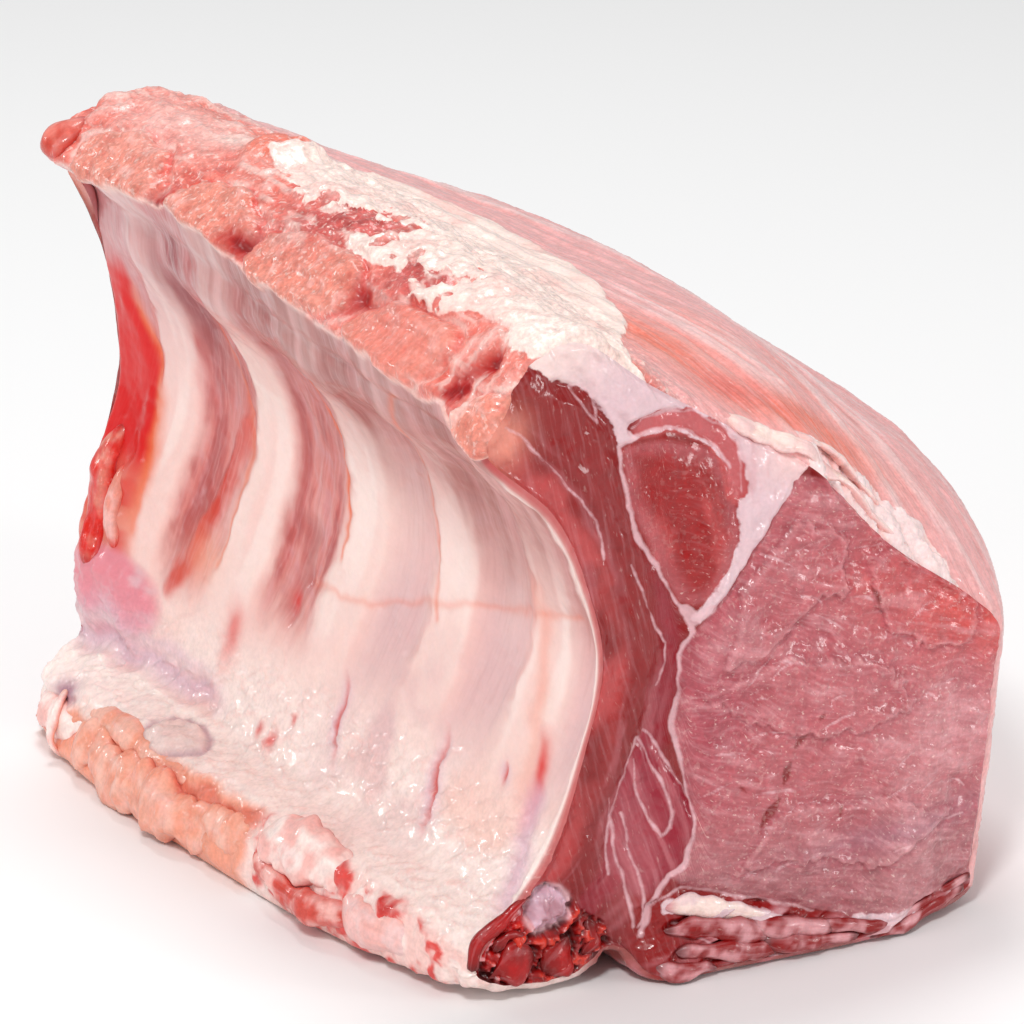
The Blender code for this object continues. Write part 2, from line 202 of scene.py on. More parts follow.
# Ragged layers of the eye that stand a little out of it: how high, how far they slope off, points
LAYERS = (
    (0.9, 9, ((23.4, 75.7), (21.7, 71.3), (22.2, 65), (16.3, 66), (10.6, 60.6), (3.7, 57.3), (-3.1, 56.4),
              (2, 70), (12, 80))),
    (0.7, 12, ((27.8, 70.3), (28.8, 62.7), (31.6, 56.9), (38.8, 52.7), (48, 52), (52, 62), (36, 74))),
    (0.6, 14, ((-7.6, 52), (2.4, 45.6), (14.6, 40.6), (26.8, 40), (36, 43), (30, 52), (10, 56))),
    (0.6, 8, ((-1.2, 17.9), (6.9, 18.8), (19.1, 17.5), (29.5, 13.7), (36.6, 17.6), (44, 20),
              (30, 27), (8, 28))),
)
EYE_GLINTS = 46

# Strands that lie on the skin or the cut: rows of (s, y) or (x, z), lift, half width and half height, then the
# strand's settings, and the colours of its hollows, of the painted highlight on its top, and of the painted shade in
# its creases
FAT_ROLLS = (
    (((-103, 82, -1.6, 2.6, 1.6), (-107, 76, -0.2, 3.4, 2.2), (-109, 66, -0.2, 3.4, 2.2),
      (-109, 56, -2.2, 2.6, 1.4)),
     {"rough": 0.3}, ("pink", "cream", "string_red")),
    (((-106, 61, -2.2, 3.6, 1.6), (-111, 50, -0.6, 5.4, 2.8), (-114, 36, -0.4, 5.6, 3), (-115, 22, -0.4, 6, 3),
      (-114, 8, -0.6, 5.2, 2.6), (-113, -4, -1, 4, 2), (-112, -12, -2.6, 3, 1.2)),
     {"wrinkle": 0.08, "rough": 0.38}, ("lip_fat", "lip_pale", "string_red")),
    (((-103, 58, -1.6, 1.8, 1), (-105, 44, -0.2, 2.6, 1.6), (-107, 28, -0.4, 2.4, 1.4),
      (-107, 14, -1.8, 1.8, 0.9)),
     {"rough": 0.35}, ("lip_fat", "lip_pale", "orange_line")),
    (((-102, 72, -0.8, 1.2, 0.8), (-106, 68, 1.2, 1.3, 0.9), (-112, 66, 1.6, 1.2, 0.8),
      (-116, 66, 0.4, 0.9, 0.6)),
     {"rough": 0.4}, ("pink", "cream", "lip_fat")),
)
FOOT_MEAT = (
    (((-104, -12, -2, 3, 1.4), (-108, -20, -0.2, 5, 2.2), (-109, -31, -0.4, 4.8, 2.2),
      (-108, -44, -2.8, 3, 1.2)),
     {"rough": 0.4}, ("pink", "cream", "string_red")),
    (((-113, -12, -1.4, 2.2, 1.4), (-116, -24, 0.4, 2.8, 2.2), (-116, -36, 0.2, 2.6, 1.9),
      (-114, -45, -1.8, 2, 1.2)),
     {"rough": 0.4}, ("string_red", "pink", "lip_red")),
    (((-111, -38, -2, 3, 1.4), (-113, -48, -0.4, 3.6, 1.9), (-112, -58, -0.6, 3, 1.6), (-110, -69, -2.8, 2, 1)),
     {"rough": 0.4}, ("pink", "flap", "lip_red")),
    (((-47, 79, -1, 2.2, 1.6), (-56, 80.5, -0.4, 3.2, 2.4), (-66, 80, -0.2, 3.8, 2.8), (-76, 77, -1, 2.8, 2)),
     {"rough": 0.25}, ("lip_red", "cartilage", "pit")),
    (((-54, 74, -0.4, 1.8, 1.4), (-63, 74, 0, 2.4, 1.8), (-71, 72, -0.4, 1.8, 1.4)), {"rough": 0.25},
     ("cartilage", "pink", "lip_red")),
    (((5, 81.5, -1, 2.8, 1.8), (12, 80.8, -0.4, 3.8, 2.6), (20, 80, -0.8, 3.4, 2)), {"rough": 0.2},
     ("string_red", "strip", "pit")),
)
FRILL = (
    (((64, -75.6, -0.8, 1.4, 0.7), (70, -75.8, 0, 2.2, 1.1), (76, -76, 0.2, 2.2, 1.2), (82, -76, 0, 2, 1.1),
      (88, -75.6, -0.2, 2.4, 1), (95, -75.4, -0.3, 2.2, 0.9), (104, -75, -0.5, 2, 0.8),
      (113, -75.2, -0.8, 1.4, 0.6)),
     {"wrinkle": 0.1, "rough": 0.35}, ("flap", "fat_warm", "pink")),
    (((82, -72.6, -0.8, 1.8, 0.7), (90, -71.4, -0.3, 2.8, 0.9), (98, -71.6, -0.3, 2.4, 0.9),
      (107, -71, -0.5, 2, 0.7)),
     {"wrinkle": 0.2, "rough": 0.8}, ("flap", "fat_warm", "pink")),
)
ON_CUT = {"on_cut": True, "rough": 0.55, "sides": 24}
SHREDDED = {"on_cut": True, "rough": 1.1, "sides": 24}
ROLL_STRIP = (
    (-14.5, 13.9, 0.2, 1, 0.5), (-9.2, 13.4, 0.6, 1.7, 0.9), (-3, 11.6, 0.6, 1.9, 1), (3, 9.6, 0.5, 1.6, 0.8),
    (9, 7.6, 0.2, 1, 0.5),
)
ROLL_BUNDLES = (
    ((-15, 9.8, 0, 1.6, 1), (-8, 9.2, 0.7, 2.2, 1.6), (0, 7.2, 0.6, 1.9, 1.4), (6, 5.2, 0.1, 1.2, 0.8)),
    ((1, 8.6, 0.1, 1.1, 0.8), (7, 6.8, 0.7, 1.8, 1.4), (14, 5.6, 0.6, 1.6, 1.2), (19, 4.4, 0, 0.9, 0.7)),
    ((-13, 5.6, 0, 1.5, 1), (-6, 4.8, 0.6, 2.2, 1.5), (2, 3.2, 0.5, 1.9, 1.3), (8, 2.2, 0, 1.1, 0.8)),
    ((4, 4.6, 0.1, 1.1, 0.8), (11, 3.2, 0.7, 1.8, 1.3), (18, 2.6, 0.5, 1.6, 1.1), (24, 2, 0, 0.9, 0.7)),
    ((15, 6, 0.1, 0.9, 0.7), (20, 4.6, 0.5, 1.4, 1.1), (26, 3.4, 0.4, 1.2, 0.9), (31, 2.6, 0, 0.7, 0.5)),
    ((-17, 3.6, 0, 1.3, 0.9), (-12, 2.2, 0.4, 1.8, 1.3), (-5, 1.4, 0.3, 1.4, 1)),
    ((26, 1.2, 0.1, 0.8, 0.6), (33, 1.6, 0.4, 1.2, 0.8), (41, 3, 0.4, 1.2, 0.8), (49, 4.6, 0.1, 0.8, 0.6)),
    ((30, 3.2, 0, 0.7, 0.5), (36, 4, 0.3, 1, 0.6), (44, 5, 0.3, 0.9, 0.6), (50.5, 6.6, 0, 0.6, 0.5)),
)
CHINE_SHREDS = (
    ((-50.2, 7, 0, 0.5, 0.4), (-49, 12.2, 0, 0.6, 0.5), (-45.4, 14.8, 0.1, 0.7, 0.5),
     (-41.6, 17.8, 0, 0.6, 0.5), (-38.6, 19.4, 0, 0.4, 0.4)),
    ((-47, 5, -0.2, 1.4, 0.6), (-43, 7, 0.2, 2.2, 0.8), (-38, 8, -0.2, 1.4, 0.6)),
    ((-46, 10, -0.1, 0.8, 0.5), (-43, 12.4, 0.2, 1, 0.7), (-39.4, 11, 0.1, 0.7, 0.5)),
    ((-36, 3.4, -0.2, 1.6, 0.6), (-33, 6.2, 0.2, 2, 0.8), (-31.4, 10, -0.1, 1.3, 0.6)),
    ((-28.6, 6, 0, 1.2, 0.6), (-26.6, 9, 0.3, 1.6, 0.8), (-27.6, 12.6, 0, 1, 0.6)),
)

# Colours, in sRGB, as they show. The wet surface adds GLOSS to each
GLOSS = 0.05
DARKEST = 0.004
PALETTE = {
    "eye": (190, 111, 116), "eye_left": (176, 94, 103), "eye_orange": (214, 100, 96), "eye_grey": (176, 120, 124),
    "eye_light": (222, 162, 166), "spinalis": (160, 50, 60), "inner_top": (146, 30, 44), "inner": (142, 38, 48),
    "inner_rim": (194, 92, 92), "leaf": (156, 66, 76), "leaf_light": (206, 132, 138), "roll": (152, 46, 54),
    "fat_cool": (228, 196, 201), "fat_warm": (252, 226, 217), "flap": (244, 206, 203), "membrane": (246, 212, 204),
    "seam": (236, 194, 199), "blue": (226, 188, 188), "gap_red": (214, 118, 112), "gap_dark": (178, 98, 98),
    "shade_under_strip": (168, 108, 102), "hollow": (154, 84, 88), "orange_line": (238, 116, 76), "vivid": (220, 20, 12),
    "cream": (255, 234, 227), "salmon": (255, 234, 227), "purple": (222, 184, 198), "lump": (232, 150, 160),
    "lip_fat": (244, 166, 142), "lip_pale": (248, 192, 174), "lip_red": (222, 70, 62), "string_red": (214, 92, 82),
    "cartilage": (230, 148, 132), "strip": (232, 136, 124), "pit": (186, 30, 30), "pink": (247, 190, 182),
    "back": (240, 180, 178), "back_orange": (238, 136, 118), "back_white": (250, 222, 220), "marrow": (158, 20, 20),
    "marrow_dark": (104, 8, 10), "marrow_light": (224, 84, 72), "slit": (140, 40, 34), "grey_violet": (176, 130, 146),
    "bone_pale": (238, 212, 206), "mauve": (214, 150, 152), "muscle_isle": (206, 106, 102),
}


def pigment(name):
    """A palette colour in linear light, less what the gloss adds to it."""
    c = np.array(PALETTE[name], float) / 255
    light = np.where(c < 0.04045, c / 12.92, ((c + 0.055) / 1.055) ** 2.4)
    return np.maximum((light - GLOSS) / (1 - GLOSS), DARKEST)


def ramp(value, low, high):
    """0 at low, 1 at high, smooth between."""
    u = np.clip((value - low) / (high - low), 0, 1)
    return u * u * (3 - 2 * u)


def fall(value, low, high):
    """1 at low, 0 at high, smooth between."""
    return 1 - ramp(value, low, high)


def bell(value, width):
    """1 at 0, about 0.4 at a width from it, 0 far from it."""
    return np.exp(-(value / width) ** 2)


def lattice(ix, iy, iz, seed):
    """Repeatable numbers from -1 to 1 at whole-number points."""
    n = (ix * 374761393 + iy * 668265263 + iz * 1440662683 + seed * 974711) & 0xFFFFFFFF
    n = ((n ^ (n >> 13)) * 1274126177) & 0xFFFFFFFF
    n = n ^ (n >> 16)
    return (n & 0xFFFF) / 32767.5 - 1


def noise(points, size, seed, octaves=1):
    """Smooth noise from about -1 to 1; size is its grain in millimetres, one number or one for each axis."""
    total, weight = 0.0, 0.0
    for octave in range(octaves):
        q = points / (np.asarray(size, float) / 2.0 ** octave)
        low = np.floor(q).astype(np.int64)
        f = q - low
        f = f * f * f * (f * (f * 6 - 15) + 10)
        value = 0.0
        for corner in range(8):
            bits = (corner & 1, corner >> 1 & 1, corner >> 2)
            share = 1.0
            for axis, bit in enumerate(bits):
                share = share * (f[..., axis] if bit else 1 - f[..., axis])
            value = value + share * lattice(*(low[..., a] + bits[a] for a in range(3)), seed + octave)
        total = total + value * 0.5 ** octave
        weight += 0.5 ** octave
    return total / weight * 1.5


def skin_noise(a, b, size_a, size_b, seed, octaves):
    """Noise over the skin, with a grain of its own along a and along b."""
    return noise(np.stack([a, b, 0 * a], axis=-1), (size_a, size_b, 1), seed, octaves)


def cut_noise(a, b, size_a, size_b, seed, octaves):
    """The same over a cut."""
    return noise(np.stack([a, 0 * a, b], axis=-1), (size_a, 1, size_b), seed, octaves)


def to_line(x, z, line):
    """Distance from points to an open line, and how far along it the nearest point is, from 0 to 1."""
    line = np.array(line, float)
    best = np.full(np.shape(x), 1e9)
    along = np.zeros(np.shape(x))
    steps = np.linalg.norm(np.diff(line, axis=0), axis=1)
    reach = np.concatenate([[0], np.cumsum(steps)])
    for k in range(len(line) - 1):
        a, d = line[k], line[k + 1] - line[k]
        u = np.clip(((x - a[0]) * d[0] + (z - a[1]) * d[1]) / (d @ d), 0, 1)
        apart = np.hypot(x - a[0] - u * d[0], z - a[1] - u * d[1])
        nearer = apart < best
        best = np.where(nearer, apart, best)
        along = np.where(nearer, (reach[k] + u * steps[k]) / reach[-1], along)
    return best, along


def off(x, z, line):
    """Distance from points to an open line."""
    return to_line(x, z, line)[0]


def inside(x, z, outline):
    """Signed distance to a closed outline: above 0 inside it."""
    closed = list(outline) + [outline[0]]
    apart = off(x, z, closed)
    odd = np.zeros(np.shape(x), bool)
    for (ax, az), (bx, bz) in zip(closed, closed[1:]):
        crosses = (az > z) != (bz > z)
        odd ^= crosses & (x < ax + (z - az) * (bx - ax) / (bz - az if bz != az else 1e-9))
    return np.where(odd, apart, -apart)


def in_oval(x, z, cx, cz, rx, rz, turn=0):
    """Points in the axes of an oval, as shares of its radii; turn is in degrees."""
    c, n = math.cos(math.radians(turn)), math.sin(math.radians(turn))
    return ((x - cx) * c + (z - cz) * n) / rx, ((z - cz) * c - (x - cx) * n) / rz


def spot(x, z, *oval):
    """1 in the middle of a soft oval, about 0.4 at its radii, 0 far out."""
    a, b = in_oval(x, z, *oval)
    return np.exp(-(a ** 2 + b ** 2))


def patch(x, z, *oval):
    """Signed distance, about in millimetres, to an oval: above 0 inside it."""
    return (1 - np.hypot(*in_oval(x, z, *oval))) * min(oval[2:4])


def spline(controls, count):
    """count points of a smooth curve through rows of numbers."""
    rows = np.array(controls, float)
    rows = np.vstack([2 * rows[0] - rows[1], rows, 2 * rows[-1] - rows[-2]])
    at = np.linspace(0, len(rows) - 3 - 1e-6, count)
    k, u = at.astype(int), (at % 1)[:, None]
    a, b, c, d = (rows[k + i] for i in range(4))
    return 0.5 * (2 * b + (c - a) * u + (2 * a - 5 * b + 4 * c - d) * u ** 2 + (3 * b - a - 3 * c + d) * u ** 3)


class Paint:
    """The colours, cover and relief of a piece's points, built up layer by layer.

    under shows where cover is below 0 and over where it is above, with a ragged edge between them. thread is
    the same for thin white seams and for the white strokes of painted glints. Fibres run along the second number of
    fibre_at.
    """

    KEYS = ("under", "over", "cover", "thread", "fleck", "fibre", "fibre_at")

    def __init__(self, shape, under, over):
        self.under = np.zeros(shape + (3,)) + pigment(under)
        self.over = np.zeros(shape + (3,)) + pigment(over)
        self.cover = np.full(shape, NONE)
        self.thread = np.full(shape, NONE)
        self.fleck = np.zeros(shape)
        self.fibre = np.zeros(shape)
        self.fibre_at = np.zeros(shape + (2,))
        self.relief = np.zeros(shape)

    def lay(self, colour, mask, layer="under"):
        mask = np.clip(mask, 0, 1)[..., None]
        held = getattr(self, layer)
        setattr(self, layer, held + (pigment(colour) - held) * mask)

    def dab(self, x, z, rows, mask=1, layer="under"):
        """Soft ovals of colour. Each row is the colour, its strength, and the oval's centre, radii and turn."""
        for colour, strength, *oval in rows:
            self.lay(colour, spot(x, z, *oval) * strength * mask, layer)

    def fields(self, part=slice(None)):
        return {key: getattr(self, key)[:, part] for key in self.KEYS}


def outward(points):
    """Unit normals that point out of clockwise closed outlines."""
    along = np.roll(points, -1, axis=-2) - np.roll(points, 1, axis=-2)
    normal = np.stack([-along[..., 1], along[..., 0]], axis=-1)
    return normal / np.linalg.norm(normal, axis=-1)[..., None]


def landmarks(t):
    """The outline's landmarks at fractions t of the length."""
    t = np.asarray(t, float)[..., None]
    near, far = (np.array([row[k] for row in OUTLINE], float) for k in (1, 2))
    swell = np.array([row[3] for row in OUTLINE], float) * (1 - np.abs(2 * t - 1) ** 3)
    points = near + (far - near) * t[..., None]
    points = points + outward(points) * swell[..., None]
    points[..., 1] = np.maximum(points[..., 1], 0)
    return points


def on_outline(marks, places):
    """Points of the closed curves through the landmarks; place 2.5 is half way from mark 2 to mark 3."""
    first, u = np.floor(places).astype(int), places % 1
    weights = (
        0.5 * (-u + 2 * u * u - u ** 3),
        0.5 * (2 - 5 * u * u + 3 * u ** 3),
        0.5 * (u + 4 * u * u - 3 * u ** 3),
        0.5 * (-u * u + u ** 3),
    )
    return sum(w[:, None] * marks[..., (first + k - 1) % len(OUTLINE), :] for k, w in enumerate(weights))


def even_places(start, end, count, crowd=None):
    """Places from start to end whose points are evenly spaced, or closer where crowd(place) is above 1."""
    fine = np.linspace(start, end, 2000)
    points = sum(on_outline(landmarks(t), fine) for t in (0.0, 0.3, 0.7)) / 3
    steps = np.linalg.norm(np.diff(points, axis=0), axis=1)
    if crowd:
        steps = steps * crowd(0.5 * (fine[1:] + fine[:-1]))
    travelled = np.concatenate([[0], np.cumsum(steps)])
    return np.interp(np.linspace(0, travelled[-1], count), travelled, fine)


def roll_push(x, z, y):
    """How far the rolled lower muscle hangs out of the shown cut."""
    low = np.sin(0.5 * math.pi * np.clip((ROLL_TOP - z) / ROLL_TOP, 0, 1))
    left = ramp(x, ROLL_SPAN[0], ROLL_SPAN[0] + 10)
    right = ramp(-x, -ROLL_SPAN[1], 26 - ROLL_SPAN[1])
    return ROLL_DEPTH * low * left * right * np.clip(1 - (y - NEAR_Y) / ROLL_FADE, 0, 1)


def place(points):
    """Section millimetres to metres of the model's frame."""
    moved = np.array(points, float)
    moved[..., 0] -= CENTRE[0]
    moved[..., 1] -= CENTRE[1]
    moved[..., 2] = np.maximum(moved[..., 2], 0)
    return moved * 0.001


def side_rows():
    """For each row: its y, how far the section is drawn in there, and how much the surface faces the cut."""
    turn = np.linspace(0.5 * math.pi, 0, RIM_ROWS)
    near_y = NEAR_Y + RIM * (1 - np.sin(turn))
    far_y = FAR_Y - RIM * (1 - np.sin(turn[::-1]))
    middle = np.linspace(near_y[-1], far_y[0], ROWS - 2 * RIM_ROWS + 2)[1:-1]
    inset = np.zeros(ROWS)
    inset[:RIM_ROWS] = RIM * (1 - np.cos(turn))
    inset[-RIM_ROWS:] = RIM * (1 - np.cos(turn[::-1]))
    facing = np.zeros(ROWS)
    facing[:RIM_ROWS] = -np.sin(turn)
    facing[-RIM_ROWS:] = np.sin(turn[::-1])
    return np.concatenate([near_y, middle, far_y]), inset, facing


def crowd_top(places):
    """The strip and the fat take more columns than the plain back."""
    return 1 + 0.7 * fall(places, 12.5, 14.5)


def side_grid():
    """The whole skin round the loin: where its pieces part, positions and normals."""
    last = len(OUTLINE) + FOOT
    left = even_places(FOOT, CORNER, RIB_COLUMNS)
    top = even_places(CORNER, SHOULDER, TOP_COLUMNS, crowd_top)
    right = even_places(SHOULDER, HEEL, RIB_COLUMNS)[::SIDE_STEP]
    right = np.append(right[right < HEEL - 1e-6], HEEL)
    bottom = even_places(HEEL, last, TOP_COLUMNS)[::BASE_STEP]
    bottom = np.append(bottom[bottom < last - 1e-6], last)
    places = np.concatenate([left, top[1:], right[1:], bottom[1:]])
    ends = np.cumsum([0, len(left) - 1, len(top) - 1, len(right) - 1, len(bottom) - 1])
    y, inset, facing = side_rows()
    flat = on_outline(landmarks((y - NEAR_Y) / LENGTH), places)
    along = np.gradient(flat, axis=1)
    # The loop closes on itself, so its two ends share one direction
    along[:, 0] = along[:, -1] = flat[:, 1] - flat[:, -2]
    normal = np.stack([-along[..., 1], along[..., 0]], axis=-1)
    normal /= np.linalg.norm(normal, axis=-1)[..., None]
    flat = flat - normal * inset[:, None, None]
    flat[..., 1] = np.maximum(flat[..., 1], 0)
    points = np.stack([flat[..., 0], np.broadcast_to(y[:, None], flat.shape[:2]), flat[..., 1]], axis=-1)
    points[..., 1] -= roll_push(points[..., 0], points[..., 2], points[..., 1])
    share = np.sqrt(1 - facing ** 2)[:, None]
    ahead = np.broadcast_to(facing[:, None], flat.shape[:2])
    return ends, points, np.stack([normal[..., 0] * share, ahead, normal[..., 1] * share], axis=-1)


def distance_round(points, ends):
    """s of the skin's points. Past the heel it is counted down from the rib side's foot."""
    steps = np.linalg.norm(np.diff(points[..., (0, 2)], axis=1), axis=-1)
    travelled = np.concatenate([np.zeros((ROWS, 1)), np.cumsum(steps, axis=1)], axis=1)
    s = travelled - travelled[:, ends[1]][:, None]
    s[:, ends[3] + 1:] -= travelled[:, -1][:, None]
    return s


def paint_skin(base, s, y):
    """The colours and relief of everything but the cuts."""
    p = Paint(s.shape, "membrane", "membrane")
    ws = s + 1.3 * noise(base, 7, 11, 3)
    wy = y + 1.3 * noise(base, 7, 21, 3)
    e = ws - np.interp(y, *zip(*STRIP_EDGE))
    p.fibre_at[..., 0] = y + RIB_LEAN * -s
    p.fibre_at[..., 1] = s
    paint_ribs(p, base, s, y, ws, wy, e)
    paint_foot(p, base, s, y, ws, wy)
    paint_strip(p, base, s, y, ws, wy, e)
    paint_back(p, base, s, y, ws, wy)
    # The membrane's pale rim round the shown cut
    swell = 1 + 0.5 * noise(base, 9, 13, 2)
    rim = fall(y - NEAR_Y, 0.4 * swell, 1.7 * swell) * fall(e, -9, -2) * ramp(s, -104, -92)
    p.lay("cream", rim * 0.8)
    p.lay("inner_rim", (s < 0) * fall(y - NEAR_Y, 0.15, 0.5) * ramp(s, -108, -104) * 0.9)
    p.relief += 0.5 * rim
    # The underside, and the bottom edge of the cuts
    under = np.zeros(s.shape)
    under[:, ends[3] - 4:] = 1
    p.lay("roll", under * 0.85)
    p.lay("leaf_light", under * ramp(noise(base, 5, 12, 3), 0.1, 0.6) * 0.8)
    p.lay("cream", under * ramp(-base[..., 0], 26, 31) * 0.8)
    p.relief += 0.35 * noise(base, 16, 3, 2) + 0.10 * noise(base, 2.2, 5, 2)
    return p


def paint_ribs(p, base, s, y, ws, wy, e):
    """The hollow side: pale ribs, the muscle and bluish membrane between them, and the shade under the strip."""
    on = fall(e, -1, 1)
    upper = ramp(s, -84, -60)
    near_rib = np.zeros(s.shape)
    for middle in RIB_MIDS:
        near_rib = np.maximum(near_rib, fall(np.abs(wy - middle - RIB_LEAN * (s + 50)), 4.5, 12))
    between = 1 - near_rib
    leaning = y - RIB_LEAN * s
    grain = skin_noise(s, leaning, 30, 3.4, 31, 3)
    p.relief += on * upper * (1.7 * near_rib - 0.8) * (1 - 0.6 * ramp(e, -30, -6))
    p.fibre += on * 0.22 * between * upper
    # The ribs are pale. Bluish membrane is between those nearer the shown cut, red muscle between the others
    p.lay("pink", on * upper * ramp(skin_noise(s, leaning, 26, 7, 34, 2), -0.5, 0.8) * 0.5)
    p.lay("mauve", on * upper * between * ramp(e, -78, -30) * (0.45 + 0.35 * ramp(y, -10, 10)))
    p.lay("blue", on * between * ramp(s, -88, -60) * ramp(-y, -8, 2) * fall(s, -60, -34) * 0.9)
    muscle = on * ramp(between, 0.1, 0.95) * ramp(s, -78, -58) * ramp(y, 2, 10) * fall(y, 58, 66)
    feather = skin_noise(s + 1.4 * y, y - 0.3 * s, 7, 2.2, 35, 3)
    p.lay("gap_red", muscle * (0.75 + 0.4 * grain))
    p.lay("gap_dark", muscle * ramp(grain + 0.5 * feather, 0.1, 0.9) * 0.65)
    p.lay("mauve", muscle * ramp(-feather, 0.1, 0.8) * 0.6)
    p.relief += 0.25 * muscle * feather
    p.fibre += 0.12 * muscle
    # Painted shade under the overhanging strip's edge: browner and streakier, reaching further down towards the shown
    # cut, with a patch of it near the far end
    depth = 26 + 18 * ramp(-y, -30, 50)
    shade = on * ramp(e, -depth - 16, -depth + 20) * (1 - 0.15 * near_rib)
    p.lay("mauve", shade * 0.75)
    p.dab(s, y, (("mauve", 0.6, -16, 66, 20, 16),), on)
    p.lay("shade_under_strip", shade * (0.75 + 0.5 * grain) * ramp(-y, -60, 10))
    p.lay("gap_dark", shade * ramp(grain, 0.25, 1) * 0.5)
    p.fibre += 0.15 * shade
    # Painted shade in the dark hollows under the strip near the far end, which the relief also presses in
    p.lay("hollow", on * np.maximum(spot(s, y, -12, 50, 15, 5, 12), spot(s, y, 0, 42, 8, 5)) * 0.8)
    p.dab(s, y, (("pit", 0.7, -24, 53, 4, 1.4),), on)
    p.relief -= on * 1.6 * spot(s, y, -12, 48, 16, 5, 12)
    pale = on * ramp(near_rib, 0.75, 1) * upper * (1 - 0.85 * ramp(e, -depth - 8, -depth + 16))
    p.lay("salmon", pale * (0.30 + 0.4 * ramp(skin_noise(s, leaning, 22, 5, 33, 2), 0, 0.8)))
    for width, strength, line in ORANGE_LINES:
        apart = off(ws, wy, line)
        p.lay("orange_line", on * bell(apart, width) * strength)
        p.relief -= on * 0.2 * bell(apart, width + 0.4)
    # The diagonal red muscle, the dark slit by the third rib and the vivid strip at the far end
    diagonal = 2.4 - off(ws, wy, ((-38, 41.5), (-48, 43), (-58, 47), (-68, 51), (-74, 55)))
    p.lay("string_red", on * ramp(diagonal, -0.8, 1.6) * (0.65 + 0.4 * grain))
    p.relief += on * 0.5 * ramp(diagonal, -1, 1.5)
    dark = on * ramp(2.4 - off(ws, wy, ((-52, 16), (-60, 15.5), (-68, 17.5))), -1.6, 2)
    p.lay("gap_dark", dark * 0.6)
    p.relief -= 0.7 * dark
    past = wy - np.interp(s, (-80, -62, -50, -40, -29, -19), (69, 70, 68, 69, 72.5, 77))
    vivid = ramp(past, -1, 1.5) * ramp(s, -70, -56) * fall(s, -18, -10)
    p.lay("orange_line", on * ramp(past, -5, 0) * ramp(s, -76, -60) * fall(s, -26, -14) * 0.9)
    p.lay("vivid", on * vivid)
    p.fibre *= 1 - 0.8 * on * vivid
    p.relief += on * ramp(past, -1, 4) * ramp(s, -80, -60) * fall(s, -18, -8) * 1.2
    blob = on * ramp(past, -3, 3) * ramp(s, -79, -73) * fall(s, -60, -50)
    p.lay("cartilage", blob * 0.9)
    p.lay("lip_red", blob * ramp(noise(base, 5, 51, 2), 0, 0.5) * 0.8)
    p.relief += blob * (1.2 + 1.4 * noise(base, 8, 52, 2))


